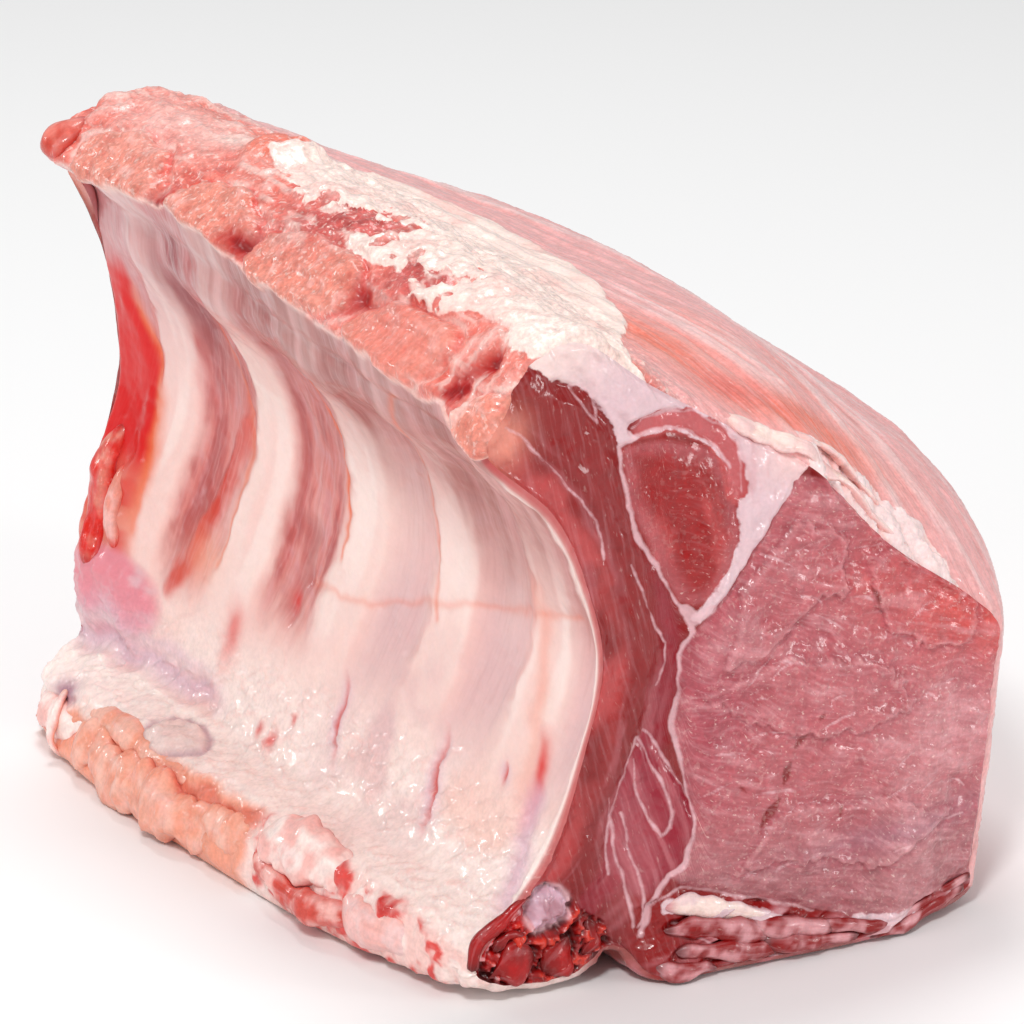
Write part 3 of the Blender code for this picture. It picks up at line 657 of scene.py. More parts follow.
def paint_foot(p, base, s, y, ws, wy):
    """The lower rib side: cream bone, slits, the lump at the far end, and the rolls of fat along the foot."""
    low = fall(s, -88, -70) * (s < 0)
    p.lay("cream", low * 0.85)
    p.dab(s, y, (("blue", 0.8, -80, -24, 16, 22),), ramp(noise(base, 10, 60, 2), -0.6, 0.5))
    p.lay("lip_fat", low * ramp(noise(base, 18, 61, 2), 0.2, 0.9) * 0.35)
    # Wet wrinkles in the thin membrane over the bone
    wrinkles = np.abs(skin_noise(s + 0.5 * y, y - 0.3 * s, 4, 8, 67, 3))
    p.relief += low * (0.45 * ramp(-wrinkles, -0.25, 0) + 0.3 * noise(base, 3, 68, 2))
    p.lay("pink", low * ramp(-wrinkles, -0.12, 0) * 0.35)
    p.fleck += low * 0.3
    for width, depth, line in FOOT_SLITS:
        apart, along = to_line(ws, wy, line)
        thin = np.sin(math.pi * np.clip(along, 0.04, 0.96))
        p.lay("purple", bell(apart, width * 2.6) * thin * 0.7)
        p.lay("string_red", bell(apart, width * 0.8) * thin * 0.9)
        p.relief -= 0.8 * depth * bell(apart, width) * thin
    apart, along = to_line(ws, wy, ((-62, -65), (-71, -67), (-83, -67.5)))
    p.lay("lip_red", bell(apart, 1.6) * np.sin(math.pi * along) * 0.95)
    apart = off(ws, wy, ((-77, -67.5), (-84, -70), (-88, -72), (-94, -75)))
    p.lay("purple", bell(apart, 3) * 0.75)
    p.relief -= 1.0 * bell(apart, 2.6)
    p.dab(ws, wy, (("lip_red", 0.8, -92, 10, 2.2, 1.2), ("lip_red", 0.8, -86, 6, 1.6, 0.9),
                   ("lip_red", 0.8, -90, 14, 1.6, 1), ("lip_red", 0.8, -66, 17, 3, 1.6)))
    # The far lump, its purple groove, the pale flat band and the grey oval
    lump = patch(ws, wy, -80, 72, 9, 15)
    p.lay("lump", ramp(lump, -1.5, 1.5))
    p.lay("fat_cool", ramp(lump, -1, 1) * ramp(skin_noise(s, y, 3.4, 7, 62, 4), 0, 0.7) * 0.65)
    p.dab(ws, wy, (("purple", 0.7, -85, 68, 4, 12),))
    p.relief += ramp(lump, -1, 6) * (2.6 + 0.7 * noise(base, 3, 69, 3))
    groove = bell(ws + 89.5, 2.8) * ramp(y, 24, 38)
    p.lay("purple", groove * 0.8)
    p.relief -= 1.3 * groove
    p.lay("fat_cool", bell(ws + 85.5, 1.6) * ramp(y, 30, 44) * 0.8)
    p.dab(ws, wy, (("lip_red", 0.7, -76.5, 31, 5.5, 2.6), ("lip_fat", 0.7, -66, 45, 5, 6)))
    flat = ramp(-ws, 92, 94) * fall(-ws, 102, 104) * ramp(y, 24, 30)
    p.lay("salmon", flat)
    p.relief += 1.2 * flat
    # Painted shade in the dark pit, which the relief also presses in
    p.dab(s, y, (("grey_violet", 1.1, -103, 70, 2.8, 4.6),))
    p.relief -= 1.6 * spot(s, y, -103, 70, 2.6, 4)
    oval = patch(ws, wy, -100.5, 29, 5, 8)
    # Painted shade: a grey-violet ring round the foot of the raised pale oval
    p.lay("grey_violet", ramp(oval, -1.2, 0.2) * 0.7)
    p.lay("bone_pale", ramp(oval, -0.2, 1.2))
    p.relief += 1.0 * ramp(oval, -0.5, 2) - 0.4 * bell(oval, 0.6)
    # Fat along the foot, red meat nearer the shown cut
    lip = ramp(-ws, 104, 107) * (s < 0)
    fatty = lip * ramp(wy, -14, -8)
    rolls = np.sin(0.42 * (ws + 106) + 0.9 * noise(base, 15, 64, 2))
    p.lay("lip_fat", fatty)
    p.lay("string_red", fatty * ramp(-rolls, 0.3, 1) * 0.5)
    p.relief += fatty * (0.8 * rolls + 0.8 * noise(base, 6, 65, 2))
    meaty = lip * fall(wy, -14, -8)
    bits = noise(base, 4, 66, 3)
    p.lay("pink", meaty * 0.6)
    p.lay("lip_red", meaty * ramp(bits + 0.5 * spot(s, y, -112, -30, 9, 18), 0.1, 0.5) * 0.9)
    p.lay("pit", meaty * ramp(bits, 0.55, 0.9) * 0.5)
    p.lay("cream", meaty * ramp(-noise(base, 5, 59, 3), 0.1, 0.5) * 0.8)
    p.relief += meaty * 0.7 * bits


def paint_strip(p, base, s, y, ws, wy, e):
    """The sawn strip: rib ends with red strings between them, and the pink and white above."""
    strip = ramp(e, -0.4, 0.4)
    band = strip * fall(ws, 46, 60) * (s < 150)
    bits = noise(base, 4.6, 71, 4)
    fine = noise(base, 1.8, 70, 3)
    strings = skin_noise(s, y, 2, 9, 72, 3)
    p.lay("strip", band)
    p.lay("pink", band * ramp(bits + 0.4 * fine, 0, 0.7) * 0.7)
    p.lay("string_red", band * ramp(-bits + 0.4 * fine, 0.15, 0.8) * 0.7)
    p.lay("fat_warm", band * ramp(strings, 0.35, 0.7) * 0.5)
    p.relief += band * (0.7 * bits + 0.2 * fine + 0.35 * strings)
    p.fleck += band * 0.8
    p.fibre *= 1 - band
    p.fibre += band * 0.2
    broken = ramp(noise(base, 6, 75, 2), -0.4, 0.5)
    for rib_end in RIB_ENDS:
        oval = patch(ws, wy, *rib_end) + 0.9 * bits
        full = ramp(oval, -0.5, 1) * strip
        p.lay("cartilage", full * 0.95)
        p.lay("pink", full * ramp(fine + 0.5 * bits, 0.2, 0.9) * 0.6)
        p.lay("string_red", full * ramp(-fine, 0.3, 0.9) * 0.35)
        p.lay("fat_warm", strip * bell(oval + 1, 0.5) * broken * 0.7)
        p.lay("lip_red", strip * bell(oval + 0.2, 0.5) * (1 - broken) * 0.7)
        p.relief += strip * (1.2 * ramp(oval, -0.3, 1.8) - 0.8 * bell(oval + 0.5, 0.7)) - 0.4 * full * bits
    p.dab(s, y, (("strip", 0.6, 12, -46, 9, 14),), strip)
    p.fleck *= 1 - 0.5 * spot(s, y, 13, -52, 12, 20)
    # The open red pit by the shown cut has pale strings round it
    p.dab(ws, wy, (("fat_warm", 1, 12, -67, 9, 6),), strip * ramp(skin_noise(s, y, 6, 1.4, 74, 2), 0.1, 0.5))
    for oval in PITS:
        pit = spot(ws + 1.6 * bits, wy + 1.2 * fine, *oval) * strip
        p.lay("pit", pit * 1.2)
        p.lay("marrow_dark", ramp(pit, 0.7, 1) * 0.5)
        p.relief -= 1.3 * pit
        p.fleck *= 1 - pit
    p.dab(ws, wy, (("pink", 0.8, 31, 60, 9, 20), ("fat_warm", 0.7, 34, 45, 4, 6)))
    p.dab(s, y, (("pink", 1, 40, 32, 9, 9),), layer="over")
    bump = patch(ws, wy, 38, 33, 8.5, 8.5)
    p.lay("back_orange", ramp(bump, -1, 2) * 0.75)
    p.relief += 2.8 * ramp(bump, -1, 5)
    p.dab(ws, wy, (("lip_red", 0.6, 12, 81, 7, 5),))
    # The strip overhangs: the rib side falls away behind its edge
    near = (s < 60) * ramp(y, -76, -66)
    beyond = s - np.interp(y, *zip(*STRIP_EDGE))
    p.relief += near * (1.6 * bell(beyond - 1.4, 2.4) - 3.4 * bell(beyond + 8, 6))
    p.lay("fat_warm", bell(e - 0.1, 0.4) * (s < 60) * 0.6)


def paint_back(p, base, s, y, ws, wy):
    """The white fat along the crest, and the lean back with its membrane."""
    on_top = s > 0
    back = ramp(ws, 42, 54) * on_top
    drift = s + 0.42 * y
    grain = skin_noise(drift, y, 4, 30, 81, 4)
    broad = skin_noise(drift, y, 12, 50, 82, 2)
    p.lay("back", back)
    p.lay("back_orange", back * ramp(broad, 0.1, 0.9) * 0.4)
    p.lay("back_white", back * ramp(grain + 0.3 * broad, 0.15, 0.8) * 0.7)
    p.dab(ws, wy, (("back_orange", 1, 64, -52, 12, 16, 25), ("back_orange", 1.1, 92, -64, 20, 6, 10),
                   ("string_red", 0.5, 74, -64, 10, 5, 10)), back)
    p.dab(s, y, (("mauve", 0.5, 190, -20, 60, 60),), back)
    p.relief += back * 0.6 * grain
    for on_back in (p.fibre, p.fibre_at[..., 0], p.fibre_at[..., 1]):
        on_back *= 1 - back
    p.fibre += back * 0.55
    p.fibre_at[..., 0] += back * drift
    p.fibre_at[..., 1] += back * y
    p.fleck += back * 0.35
    fat = inside(ws, wy, FAT_PATCH)
    for oval in ISLANDS:
        fat = np.minimum(fat, -patch(ws, wy, *oval) - 5.5 * noise(base, 3.4, 83, 3))
    p.cover = np.where(on_top, np.maximum(p.cover, fat), p.cover)
    isles = np.maximum(spot(s, y, 29, -6, 9, 14, 20), spot(s, y, 25, -38, 7, 10)) * (s < 60)
    p.lay("muscle_isle", isles * 1.2)
    p.lay("roll", isles * ramp(noise(base, 2.2, 87, 3), 0.1, 0.6) * 0.5)
    p.lay("fat_warm", isles * ramp(-noise(base, (3, 5, 3), 89, 3), 0.3, 0.6) * 0.8)
    p.lay("fat_warm", ramp(fat, -1, 0) * on_top, "over")
    p.lay("pink", ramp(noise(base, 9, 85, 3), 0, 0.8) * on_top * 0.5, "over")
    p.relief += ramp(fat, -0.6, 0.8) * on_top * (0.7 + 0.35 * noise(base, 7, 86, 2))
    frill = inside(ws, wy, FRILL_PATCH) + 1.2 * noise(base, 3, 88, 3)
    p.cover = np.where(on_top, np.maximum(p.cover, frill), p.cover)
    p.lay("back_white", ramp(frill, -1, 0) * on_top, "over")
    crumbs = skin_noise(s + y, 0.4 * (y - s), 3.4, 1.6, 84, 4)
    p.lay("pink", (s > 60) * ramp(frill, -1, 0) * ramp(-crumbs, 0.2, 0.9) * 0.5, "over")
    p.relief += on_top * ramp(frill, -0.5, 1) * (0.5 + crumbs)
    p.lay("back", (s > 60) * fall(y - NEAR_Y, 0.2, 1.6) * ramp(s, 124, 130) * 0.6)


def paint_cut(points):
    """The colours and relief of a cut, from the points' x and z at the shown cut."""
    x, z = points[..., 0], points[..., 2]
    flat = np.stack([x, 0 * x, z], axis=-1)
    wx = x + 0.5 * noise(flat, 5, 101, 3)
    wz = z + 0.5 * noise(flat, 5, 111, 3)
    p = Paint(x.shape, "inner", "fat_cool")
    grain = noise(flat, 2.4, 102, 4)
    broad = noise(flat, 12, 103, 3)
    p.fibre_at[..., 0] = z + 0.3 * x + 2 * broad
    p.fibre_at[..., 1] = 2.2 * x
    paint_inner(p, x, z, wx, wz, flat, broad)
    eye = inside(wx, wz, EYE_OUTLINE)
    in_eye = ramp(eye, -0.3, 0.4)
    paint_eye(p, x, z, wx, wz, eye, in_eye, grain, broad)
    paint_roll_and_fat(p, x, z, wx, wz, flat, eye)
    # The seams swell and fade along their length
    swell = 0.75 + 0.55 * noise(flat, 7, 96, 2)
    for k, (width, depth, line) in enumerate(SEAMS):
        apart = off(wx, wz, line)
        p.thread = np.maximum(p.thread, width * (0.8 * swell if k else 0.5 + 0.5 * swell) - apart)
        p.relief -= depth * bell(apart, width + 0.5)
    p.thread = np.maximum(p.thread, 0.9 - off(wx, wz, ((-9.4, 67.6), (-7.6, 65), (-4.6, 67.2))))
    upper = ((-21.9, 98.5), (-17.9, 100.4), (-13, 100.9), (-8.1, 99.4), (-3.8, 96.4), (-0.6, 91.9))
    p.thread = np.maximum(p.thread, 0.55 * swell - off(wx, wz, upper))
    # Painted glints as fine white strokes across the eye, and dark slits in it
    chance = np.random.default_rng(12)
    for cx, cz, reach, slope in zip(chance.uniform(-6, 52, EYE_GLINTS), chance.uniform(12, 82, EYE_GLINTS),
                                    chance.uniform(1.2, 4.5, EYE_GLINTS), chance.normal(0.15, 0.35, EYE_GLINTS)):
        line = ((cx - reach, cz - slope * reach), (cx, cz + 0.3), (cx + reach, cz + slope * reach))
        apart, along = to_line(wx, wz, line)
        width = 0.10 * np.sin(math.pi * np.clip(along, 0.02, 0.98)) + 0.05 * grain
        p.thread = np.maximum(p.thread, np.where(eye > 1.5, width - apart, NONE))
        p.relief -= 0.25 * in_eye * bell(apart, 0.5)
    for width, depth, line in SLITS:
        apart, along = to_line(x + 0.3 * grain, z, line)
        thin = np.sin(math.pi * np.clip(along, 0.08, 0.92))
        p.lay("slit", ramp(width * 1.6 * thin - apart, -0.35, 0.15) * 0.9)
        p.relief -= 0.35 * depth * thin * bell(apart, width + 0.35)
    p.fleck = in_eye * 0.35 + ramp(inside(wx, wz, SPINALIS_OUTLINE), -0.4, 0.4) * 0.25 + 0.15
    p.relief += 0.24 * grain + 0.30 * noise(flat, 6, 106, 2)
    paint_chine(p, x, z, wx, wz, flat)
    return p


def paint_inner(p, x, z, wx, wz, flat, broad):
    """The muscles along the rib side, whose fibres run down the cut, and the darker one above the eye."""
    p.lay("inner_top", ramp(z, 45, 88) * 0.8)
    from_rim = off(wx, wz, [row[1] for row in OUTLINE[2:9]])
    p.lay("inner_rim", fall(from_rim, 4, 8) * ramp(noise(flat, 9, 95, 2), -0.9, 0.3) * 0.9)
    p.lay("leaf", ramp(from_rim, 11, 13) * fall(from_rim, 15, 18) * fall(z, 70, 80) * 0.6)
    down = fall(x + 0.1 * (z - 60), -16, -10)
    p.fibre += 0.10 + 0.08 * down
    p.fibre_at[..., 0] += down * (x + 0.25 * z - p.fibre_at[..., 0])
    p.fibre_at[..., 1] += down * (z - p.fibre_at[..., 1])
    p.lay("leaf_light", down * ramp(cut_noise(from_rim, z, 2.4, 22, 100, 3), 0.25, 0.9) * 0.3)
    p.relief += down * 0.7 * cut_noise(from_rim, z, 4, 26, 99, 2)
    dark = inside(wx, wz, DARK_OUTLINE)
    p.lay("inner_top", ramp(dark, -1.2, 1.2) * 0.85)
    p.lay("marrow", ramp(dark, 0, 4) * ramp(-broad, -0.2, 0.6) * 0.35)
    p.relief += 0.7 * ramp(dark, -1, 2.5)
    p.dab(wx, wz, (("cartilage", 1.3, -45, 103.5, 4.5, 5),))
    leaf = inside(wx, wz, LEAF_OUTLINE)
    in_leaf = ramp(leaf, -0.6, 0.6)
    p.lay("leaf", in_leaf * 0.9)
    p.lay("leaf_light", in_leaf * ramp(cut_noise(x + 0.35 * z, z, 1.8, 16, 93, 3), 0.1, 0.8) * 0.5)
    p.dab(x, z, (("leaf_light", 0.4, -20, 24, 5, 12),))
    p.relief += 0.8 * ramp(leaf, -0.8, 3)
    spinalis = inside(wx, wz, SPINALIS_OUTLINE)
    in_spinalis = ramp(spinalis, 0, 1)
    veil = cut_noise(x + 0.3 * z, z - 0.3 * x, 5, 14, 94, 4)
    p.lay("spinalis", ramp(spinalis, -0.4, 0.4))
    p.lay("inner_rim", in_spinalis * ramp(veil, -0.1, 0.8) * 0.7)
    p.lay("leaf_light", in_spinalis * fall(spinalis, 1, 4.5) * 0.35)
    p.relief += ramp(spinalis, -0.8, 4) * (0.7 + 0.5 * veil)


def paint_eye(p, x, z, wx, wz, eye, in_eye, grain, broad):
    """The big muscle, with its streaks and ragged layers."""
    p.lay("eye", in_eye)
    p.dab(x, z, (("eye_left", 0.9, -6, 52, 8, 22), ("eye_orange", 1, 48, 58, 16, 9, -35),
                 ("eye_orange", 0.5, 30, 68, 10, 8, -30)), in_eye)
    p.lay("eye_grey", in_eye * fall(z, 14, 34) * 0.85)
    p.dab(x, z, (("eye_light", 0.7, 46, 36, 10, 10),), in_eye)
    streaks = cut_noise(x - 0.3 * z, z + 0.3 * x, 9, 1.6, 92, 3)
    p.lay("eye_light", in_eye * ramp(broad, 0.2, 0.9) * 0.35)
    p.lay("eye_left", in_eye * ramp(-broad, 0.2, 0.9) * 0.35)
    p.dab(x, z, (("grey_violet", 0.4, 34, 20, 20, 2.6, 3),), in_eye)
    p.lay("eye_light", in_eye * ramp(streaks, 0.2, 0.9) * 0.4)
    p.lay("eye_left", in_eye * ramp(-streaks, 0.2, 0.9) * 0.3)
    p.relief += in_eye * (ramp(eye, 0, 5) + 0.7 * broad + 0.18 * streaks)
    p.fibre += in_eye * 0.22
    for high, slope, line in LAYERS:
        step = inside(wx + 1.2 * grain, wz + grain, line)
        p.relief += in_eye * high * ramp(step, -0.3, 0.5) * fall(step, 0.5, slope)
        # Painted shade just outside each layer's raised edge, and a painted highlight along the edge
        p.lay("eye_left", in_eye * ramp(step, -2.2, -0.2) * fall(step, -0.2, 0.2) * 0.45)
        p.lay("eye_light", in_eye * ramp(step, -0.1, 0.3) * fall(step, 0.5, 1.3) * 0.35)


def paint_roll_and_fat(p, x, z, wx, wz, flat, eye):
    """The roll under the eye with its white strip, and the wedge of fat above it."""
    below = fall(eye, -0.6, 0.3) * fall(z, 14, 18) * ramp(x, -22, -18)
    lobes = cut_noise(x + 0.6 * z, z - 0.4 * x, 14, 3.2, 104, 3)
    p.lay("roll", below)
    # Painted highlight in leaf_light on the raised lobes
    p.lay("leaf_light", below * ramp(lobes, 0, 0.7) * 0.7)
    p.lay("fat_cool", below * ramp(lobes, 0.45, 0.8) * 0.6)
    p.relief += below * 1.4 * lobes
    strip = off(wx, wz, ((-14.2, 14.1), (-9.2, 13.3), (-4.1, 11.4), (1.9, 9.5), (7.4, 7.7)))
    right = off(wx, wz, ((22, 4.6), (29.7, 4.2), (35.9, 3.6)))
    arc_line = ((-18.6, 102), (-13.3, 102.6), (-8.6, 101.6), (-4.4, 99.4), (-1.4, 96), (0.2, 92.4), (0.9, 88))
    arc = off(wx, wz, arc_line)
    fat = np.minimum(inside(wx, wz, FAT_OUTLINE), arc - 1.9)
    p.lay("inner_rim", ramp(3.2 - arc, 0, 1) * ramp(x, -20, -18))
    p.lay("leaf_light", ramp(2.4 - arc, 0, 1.5) * ramp(x, -20, -18) * 0.3)
    p.cover = np.maximum.reduce([fat, 1.2 - strip, 1 - right])
    p.lay("fat_warm", ramp(z - 0.8 * x, 124, 150) * 0.7, "over")
    p.lay("flap", ramp(x, 0, 14) * ramp(z, 84, 92), "over")
    p.dab(x, z, (("leaf_light", 0.5, 7, 90, 5, 4),), ramp(cut_noise(x, z, 0.8, 5, 105, 3), 0.2, 0.7), "over")
    p.dab(x, z, (("leaf_light", 0.3, 2, 84, 8, 16),), ramp(cut_noise(x, z, 1.2, 9, 98, 3), 0.3, 0.8), "over")
    p.relief += ramp(p.cover, -0.6, 0.8) * (0.7 + 0.4 * noise(flat, 5, 97, 2))


def paint_chine(p, x, z, wx, wz, flat):
    """The sawn spongy bone at the foot, and the pale disc above it."""
    chine = inside(wx, wz, CHINE_OUTLINE)
    bone = ramp(chine, -0.4, 0.4)
    spongy = noise(flat, 2.6, 107, 3)
    pores = noise(flat, 1.3, 108, 2)
    p.lay("marrow", bone)
    p.lay("marrow_dark", bone * ramp(-spongy, -0.1, 0.5) * 0.9)
    p.lay("marrow_dark", bone * ramp(-pores, 0.2, 0.6) * 0.8)
    p.dab(x, z, (("vivid", 1.2, -45, 13, 6, 3, 30),), bone)
    p.lay("marrow_light", bone * ramp(spongy + 0.4 * pores, 0.4, 0.8) * 0.8)
    p.lay("seam", bone * ramp(pores - 0.4 * spongy, 0.75, 1) * 0.5)
    p.relief += bone * (1.3 * spongy + 0.5 * pores)
    disc = patch(wx, wz, -35.3, 16, 4.2, 3.6, 20)
    p.lay("purple", ramp(disc, -0.2, 0.4))
    p.lay("hollow", ramp(disc, 1.2, 2.2) * 0.5)
    p.lay("seam", bell(disc + 0.3, 0.4) * 0.8)
    p.relief += 1.3 * ramp(disc, -0.6, 2)
    p.cover = np.where(chine > -0.3, NONE, p.cover)
    p.thread = np.where(chine > -0.3, NONE, p.thread)


def to_shown_cut(points):
    """Where a point of the far cut lies on the shown cut: it moves with the landmarks nearest to it."""
    near, far = landmarks(0.0), landmarks(1.0)
    flat = points[..., (0, 2)]
    apart = ((flat[..., None, :] - far) ** 2).sum(axis=-1)
    weight = 1 / (apart + 9) ** 1.5
    weight /= weight.sum(axis=-1)[..., None]
    moved = flat + weight @ (near - far)
    return np.stack([moved[..., 0], points[..., 1], moved[..., 1]], axis=-1)


def coons(left, top, right, bottom, reach=None):
    """A grid of points between four edges; left and right run down from the top's corners.

    With reach, the edges' values are felt only over that share of the grid.
    """
    u = np.linspace(0, 1, len(top))[None, :, None]
    v = np.linspace(0, 1, len(left))[:, None, None]
    if reach:
        first_u, last_u = fall(u, 0, reach), ramp(u, 1 - reach, 1)
        first_v, last_v = fall(v, 0, reach), ramp(v, 1 - reach, 1)
    else:
        first_u, last_u, first_v, last_v = 1 - u, u, 1 - v, v
    ruled_v = first_v * top[None] + last_v * bottom[None]
    ruled_u = first_u * left[:, None] + last_u * right[:, None]
    upper = first_v * (first_u * top[0] + last_u * top[-1])
    lower = last_v * (first_u * bottom[0] + last_u * bottom[-1])
    return ruled_v + ruled_u - upper - lower


def resampled(line, count):
    """A line of points with count even steps, or itself if it has them."""
    if len(line) == count:
        return line
    reach = np.concatenate([[0], np.cumsum(np.linalg.norm(np.diff(line, axis=0), axis=1))])
    wanted = np.linspace(0, reach[-1], count)
    return np.stack([np.interp(wanted, reach, line[:, k]) for k in range(3)], axis=1)


def cut_grid(smooth, rim, ends, down, across):
    """The grid of a cut: smooth inside, and out to the lumpy rim at its border."""
    def edges(line):
        sides = [line[ends[k]:ends[k + 1] + 1] for k in range(4)]
        return (resampled(sides[0], down)[::-1], resampled(sides[1], across), resampled(sides[2], down),
                resampled(sides[3], across)[::-1])
    inner, outer = edges(smooth), edges(rim)
    return coons(*inner) + coons(*(b - a for a, b in zip(inner, outer)), reach=0.04)


def rim_fade(grid):
    """0 on a grid's border, 1 a little inside it."""
    rows, columns = grid.shape[:2]
    down = np.minimum(np.arange(rows), np.arange(rows)[::-1])[:, None]
    over = np.minimum(np.arange(columns), np.arange(columns)[::-1])[None]
    return ramp(np.minimum(down, over) * 0.36, 0, 1.6)


class Graph:
    """Adds nodes to one material and links them."""

    def __init__(self, tree):
        self.tree = tree

    def node(self, kind, inputs=(), **settings):
        made = self.tree.nodes.new("ShaderNode" + kind)
        for key, value in settings.items():
            setattr(made, key, value)
        for key, value in dict(inputs).items():
            if isinstance(value, bpy.types.NodeSocket):
                self.tree.links.new(value, made.inputs[key])
            else:
                made.inputs[key].default_value = value
        return made

    def field(self, name, output="Fac"):
        return self.node("Attribute", attribute_name=name).outputs[output]

    def math(self, operation, *values):
        return self.node("Math", enumerate(values), operation=operation).outputs[0]

    def mix(self, factor, a, b):
        return self.node("Mix", {0: factor, 6: a, 7: b}, data_type="RGBA").outputs[2]

    def remap(self, value, low, high, to_low, to_high):
        return self.node("MapRange", enumerate((value, low, high, to_low, to_high)), clamp=True).outputs[0]

    def noise(self, where, scale, detail):
        return self.node("TexNoise", {"Vector": where, "Scale": scale, "Detail": detail}).outputs["Fac"]

    def speckle(self, scale, detail):
        """A noise value about 0.5 in the object's own coordinates."""
        return self.noise(self.node("TexCoord").outputs["Object"], scale, detail)

    def fibres(self, across, along, detail):
        """A noise value about 0.5, drawn out along the fibres; across and along are grains per millimetre."""
        at = self.node("Mapping", {"Vector": self.field("fibre_at", "Vector"), "Scale": (across, along, 1.0)})
        return self.noise(at.outputs[0], 1.0, detail)


def meat_material(name, coat=0.35):
    """Wet meat: painted colours under a ragged cover of fat or membrane, with grain, flecks that are painted glints,
    and gloss.
    """
    material = bpy.data.materials.new(name)
    material.use_nodes = True
    g = Graph(material.node_tree)
    shader = g.tree.nodes["Principled BSDF"]
    seam, white = (*pigment("seam"), 1.0), (*pigment("fat_warm"), 1.0)
    painted_fleck, painted_fibre = g.field("fleck"), g.field("fibre")
    fine = g.speckle(1400.0, 2.5)
    coarse = g.speckle(420.0, 3.0)
    uneven = g.math("SUBTRACT", coarse, 0.5)
    cover = g.remap(g.math("MULTIPLY_ADD", uneven, 2.0, g.field("cover")), -0.16, 0.16, 0.0, 1.0)
    colour = g.mix(cover, g.field("under", "Color"), g.field("over", "Color"))
    # Fibres are lighter and darker lines; flecks are short white strokes that lie along them
    fibre = g.fibres(1.3, 0.10, 5.0)
    bare_fibre = g.math("MULTIPLY", painted_fibre, g.math("SUBTRACT", 1.0, cover))
    colour = g.mix(g.math("MULTIPLY", g.remap(fibre, 0.5, 0.72, 0.0, 0.6), bare_fibre), colour, seam)
    darker = g.node("VectorMath", {0: colour, 1: (0.62, 0.36, 0.36)}, operation="MULTIPLY").outputs[0]
    # Fibres are lighter and darker lines; flecks are short white strokes that lie along them, as painted glints
    colour = g.mix(g.math("MULTIPLY", g.remap(fibre, 0.5, 0.28, 0.0, 0.7), bare_fibre), colour, darker)
    fleck = g.math("MULTIPLY", g.remap(g.fibres(1.5, 0.45, 4.0), 0.63, 0.72, 0.0, 1.0), painted_fleck)
    # Sawn bone is gritty: its flecks are white dots too
    grit = g.remap(g.speckle(1000.0, 2.0), 0.58, 0.66, 0.0, 0.9)
    grit = g.math("MULTIPLY", grit, g.math("POWER", painted_fleck, 3.0))
    colour = g.mix(g.math("MAXIMUM", fleck, grit), colour, white)
    thread = g.math("MULTIPLY_ADD", uneven, 0.7, g.field("thread"))
    colour = g.mix(g.remap(thread, -0.22, 0.22, 0.0, 0.75), colour, seam)
    # Smooth membrane has little grain, and cut bone and meat more
    amount = g.math("MULTIPLY_ADD", painted_fleck, 0.9, 0.08)
    shade = g.math("MULTIPLY_ADD", uneven, amount, 1.0)
    grain = g.math("MULTIPLY_ADD", g.math("SUBTRACT", fine, 0.5), amount, 1.0)
    both = g.math("MULTIPLY", shade, grain)
    colour = g.node("VectorMath", {0: colour, "Scale": both}, operation="SCALE").outputs[0]
    dimples = g.speckle(260.0, 1.5)
    height = g.math("MULTIPLY_ADD", fine, g.math("MULTIPLY_ADD", painted_fleck, 0.9, 0.03), dimples)
    height = g.math("MULTIPLY_ADD", g.math("MULTIPLY", fibre, painted_fibre), 0.7, height)
    bumped = g.node("Bump", {"Height": height, "Strength": 0.4, "Distance": 0.0007}).outputs[0]
    rough = g.remap(dimples, 0.35, 0.65, 0.28, 0.46)
    for socket, value in (("Base Color", colour), ("Roughness", rough), ("Normal", bumped)):
        g.tree.links.new(value, shader.inputs[socket])
    for socket, value in (
        ("Subsurface Weight", 0.15), ("Subsurface Radius", (1.0, 0.42, 0.3)), ("Subsurface Scale", 0.002),
        ("Coat Weight", coat), ("Coat Roughness", 0.10), ("Specular IOR Level", 0.3),
    ):
        shader.inputs[socket].default_value = value
    return material


def build_grid(name, points, fields, material, flip=False):
    """A mesh from a grid of points, in section millimetres; fields are values or colours kept at its points."""
    rows, columns = points.shape[:2]
    index = np.arange(rows * columns).reshape(rows, columns)
    corners = [index[:-1, :-1], index[1:, :-1], index[1:, 1:], index[:-1, 1:]]
    if flip:
        corners = corners[::-1]
    quads = np.stack([c.ravel() for c in corners], axis=1)
    fields = {key: value.reshape(rows * columns, -1) for key, value in fields.items()}
    return build_mesh(name, points.reshape(-1, 3), [quads], fields, material)


def build_mesh(name, points, faces, fields, material):
    """faces is a list of arrays, each of faces with the same number of corners."""
    corners = np.concatenate([f.ravel() for f in faces]).astype(np.int32)
    sizes = np.concatenate([np.full(len(f), f.shape[1]) for f in faces])
    starts = np.concatenate([[0], np.cumsum(sizes)[:-1]]).astype(np.int32)
    mesh = bpy.data.meshes.new(name)
    mesh.vertices.add(len(points))
    mesh.vertices.foreach_set("co", place(points).astype(np.float32).ravel())
    mesh.loops.add(len(corners))
    mesh.loops.foreach_set("vertex_index", corners)
    mesh.polygons.add(len(sizes))
    mesh.polygons.foreach_set("loop_start", starts)
    mesh.update(calc_edges=True)
    mesh.shade_smooth()
    # By its width, a field is a number, a place of two numbers with a 0 after them, or a colour with its alpha
    kinds = {1: ("FLOAT", "value", ()), 2: ("FLOAT_VECTOR", "vector", (0,)), 3: ("FLOAT_COLOR", "color", (1,))}
    for key, value in fields.items():
        kind, slot, more = kinds[value.shape[1]]
        value = np.column_stack([value, *(np.full(len(value), number) for number in more)]).astype(np.float32)
        mesh.attributes.new(key, kind, "POINT").data.foreach_set(slot, value.ravel())
    mesh.materials.append(material)
    piece = bpy.data.objects.new(name, mesh)
    bpy.context.scene.collection.objects.link(piece)
    return piece


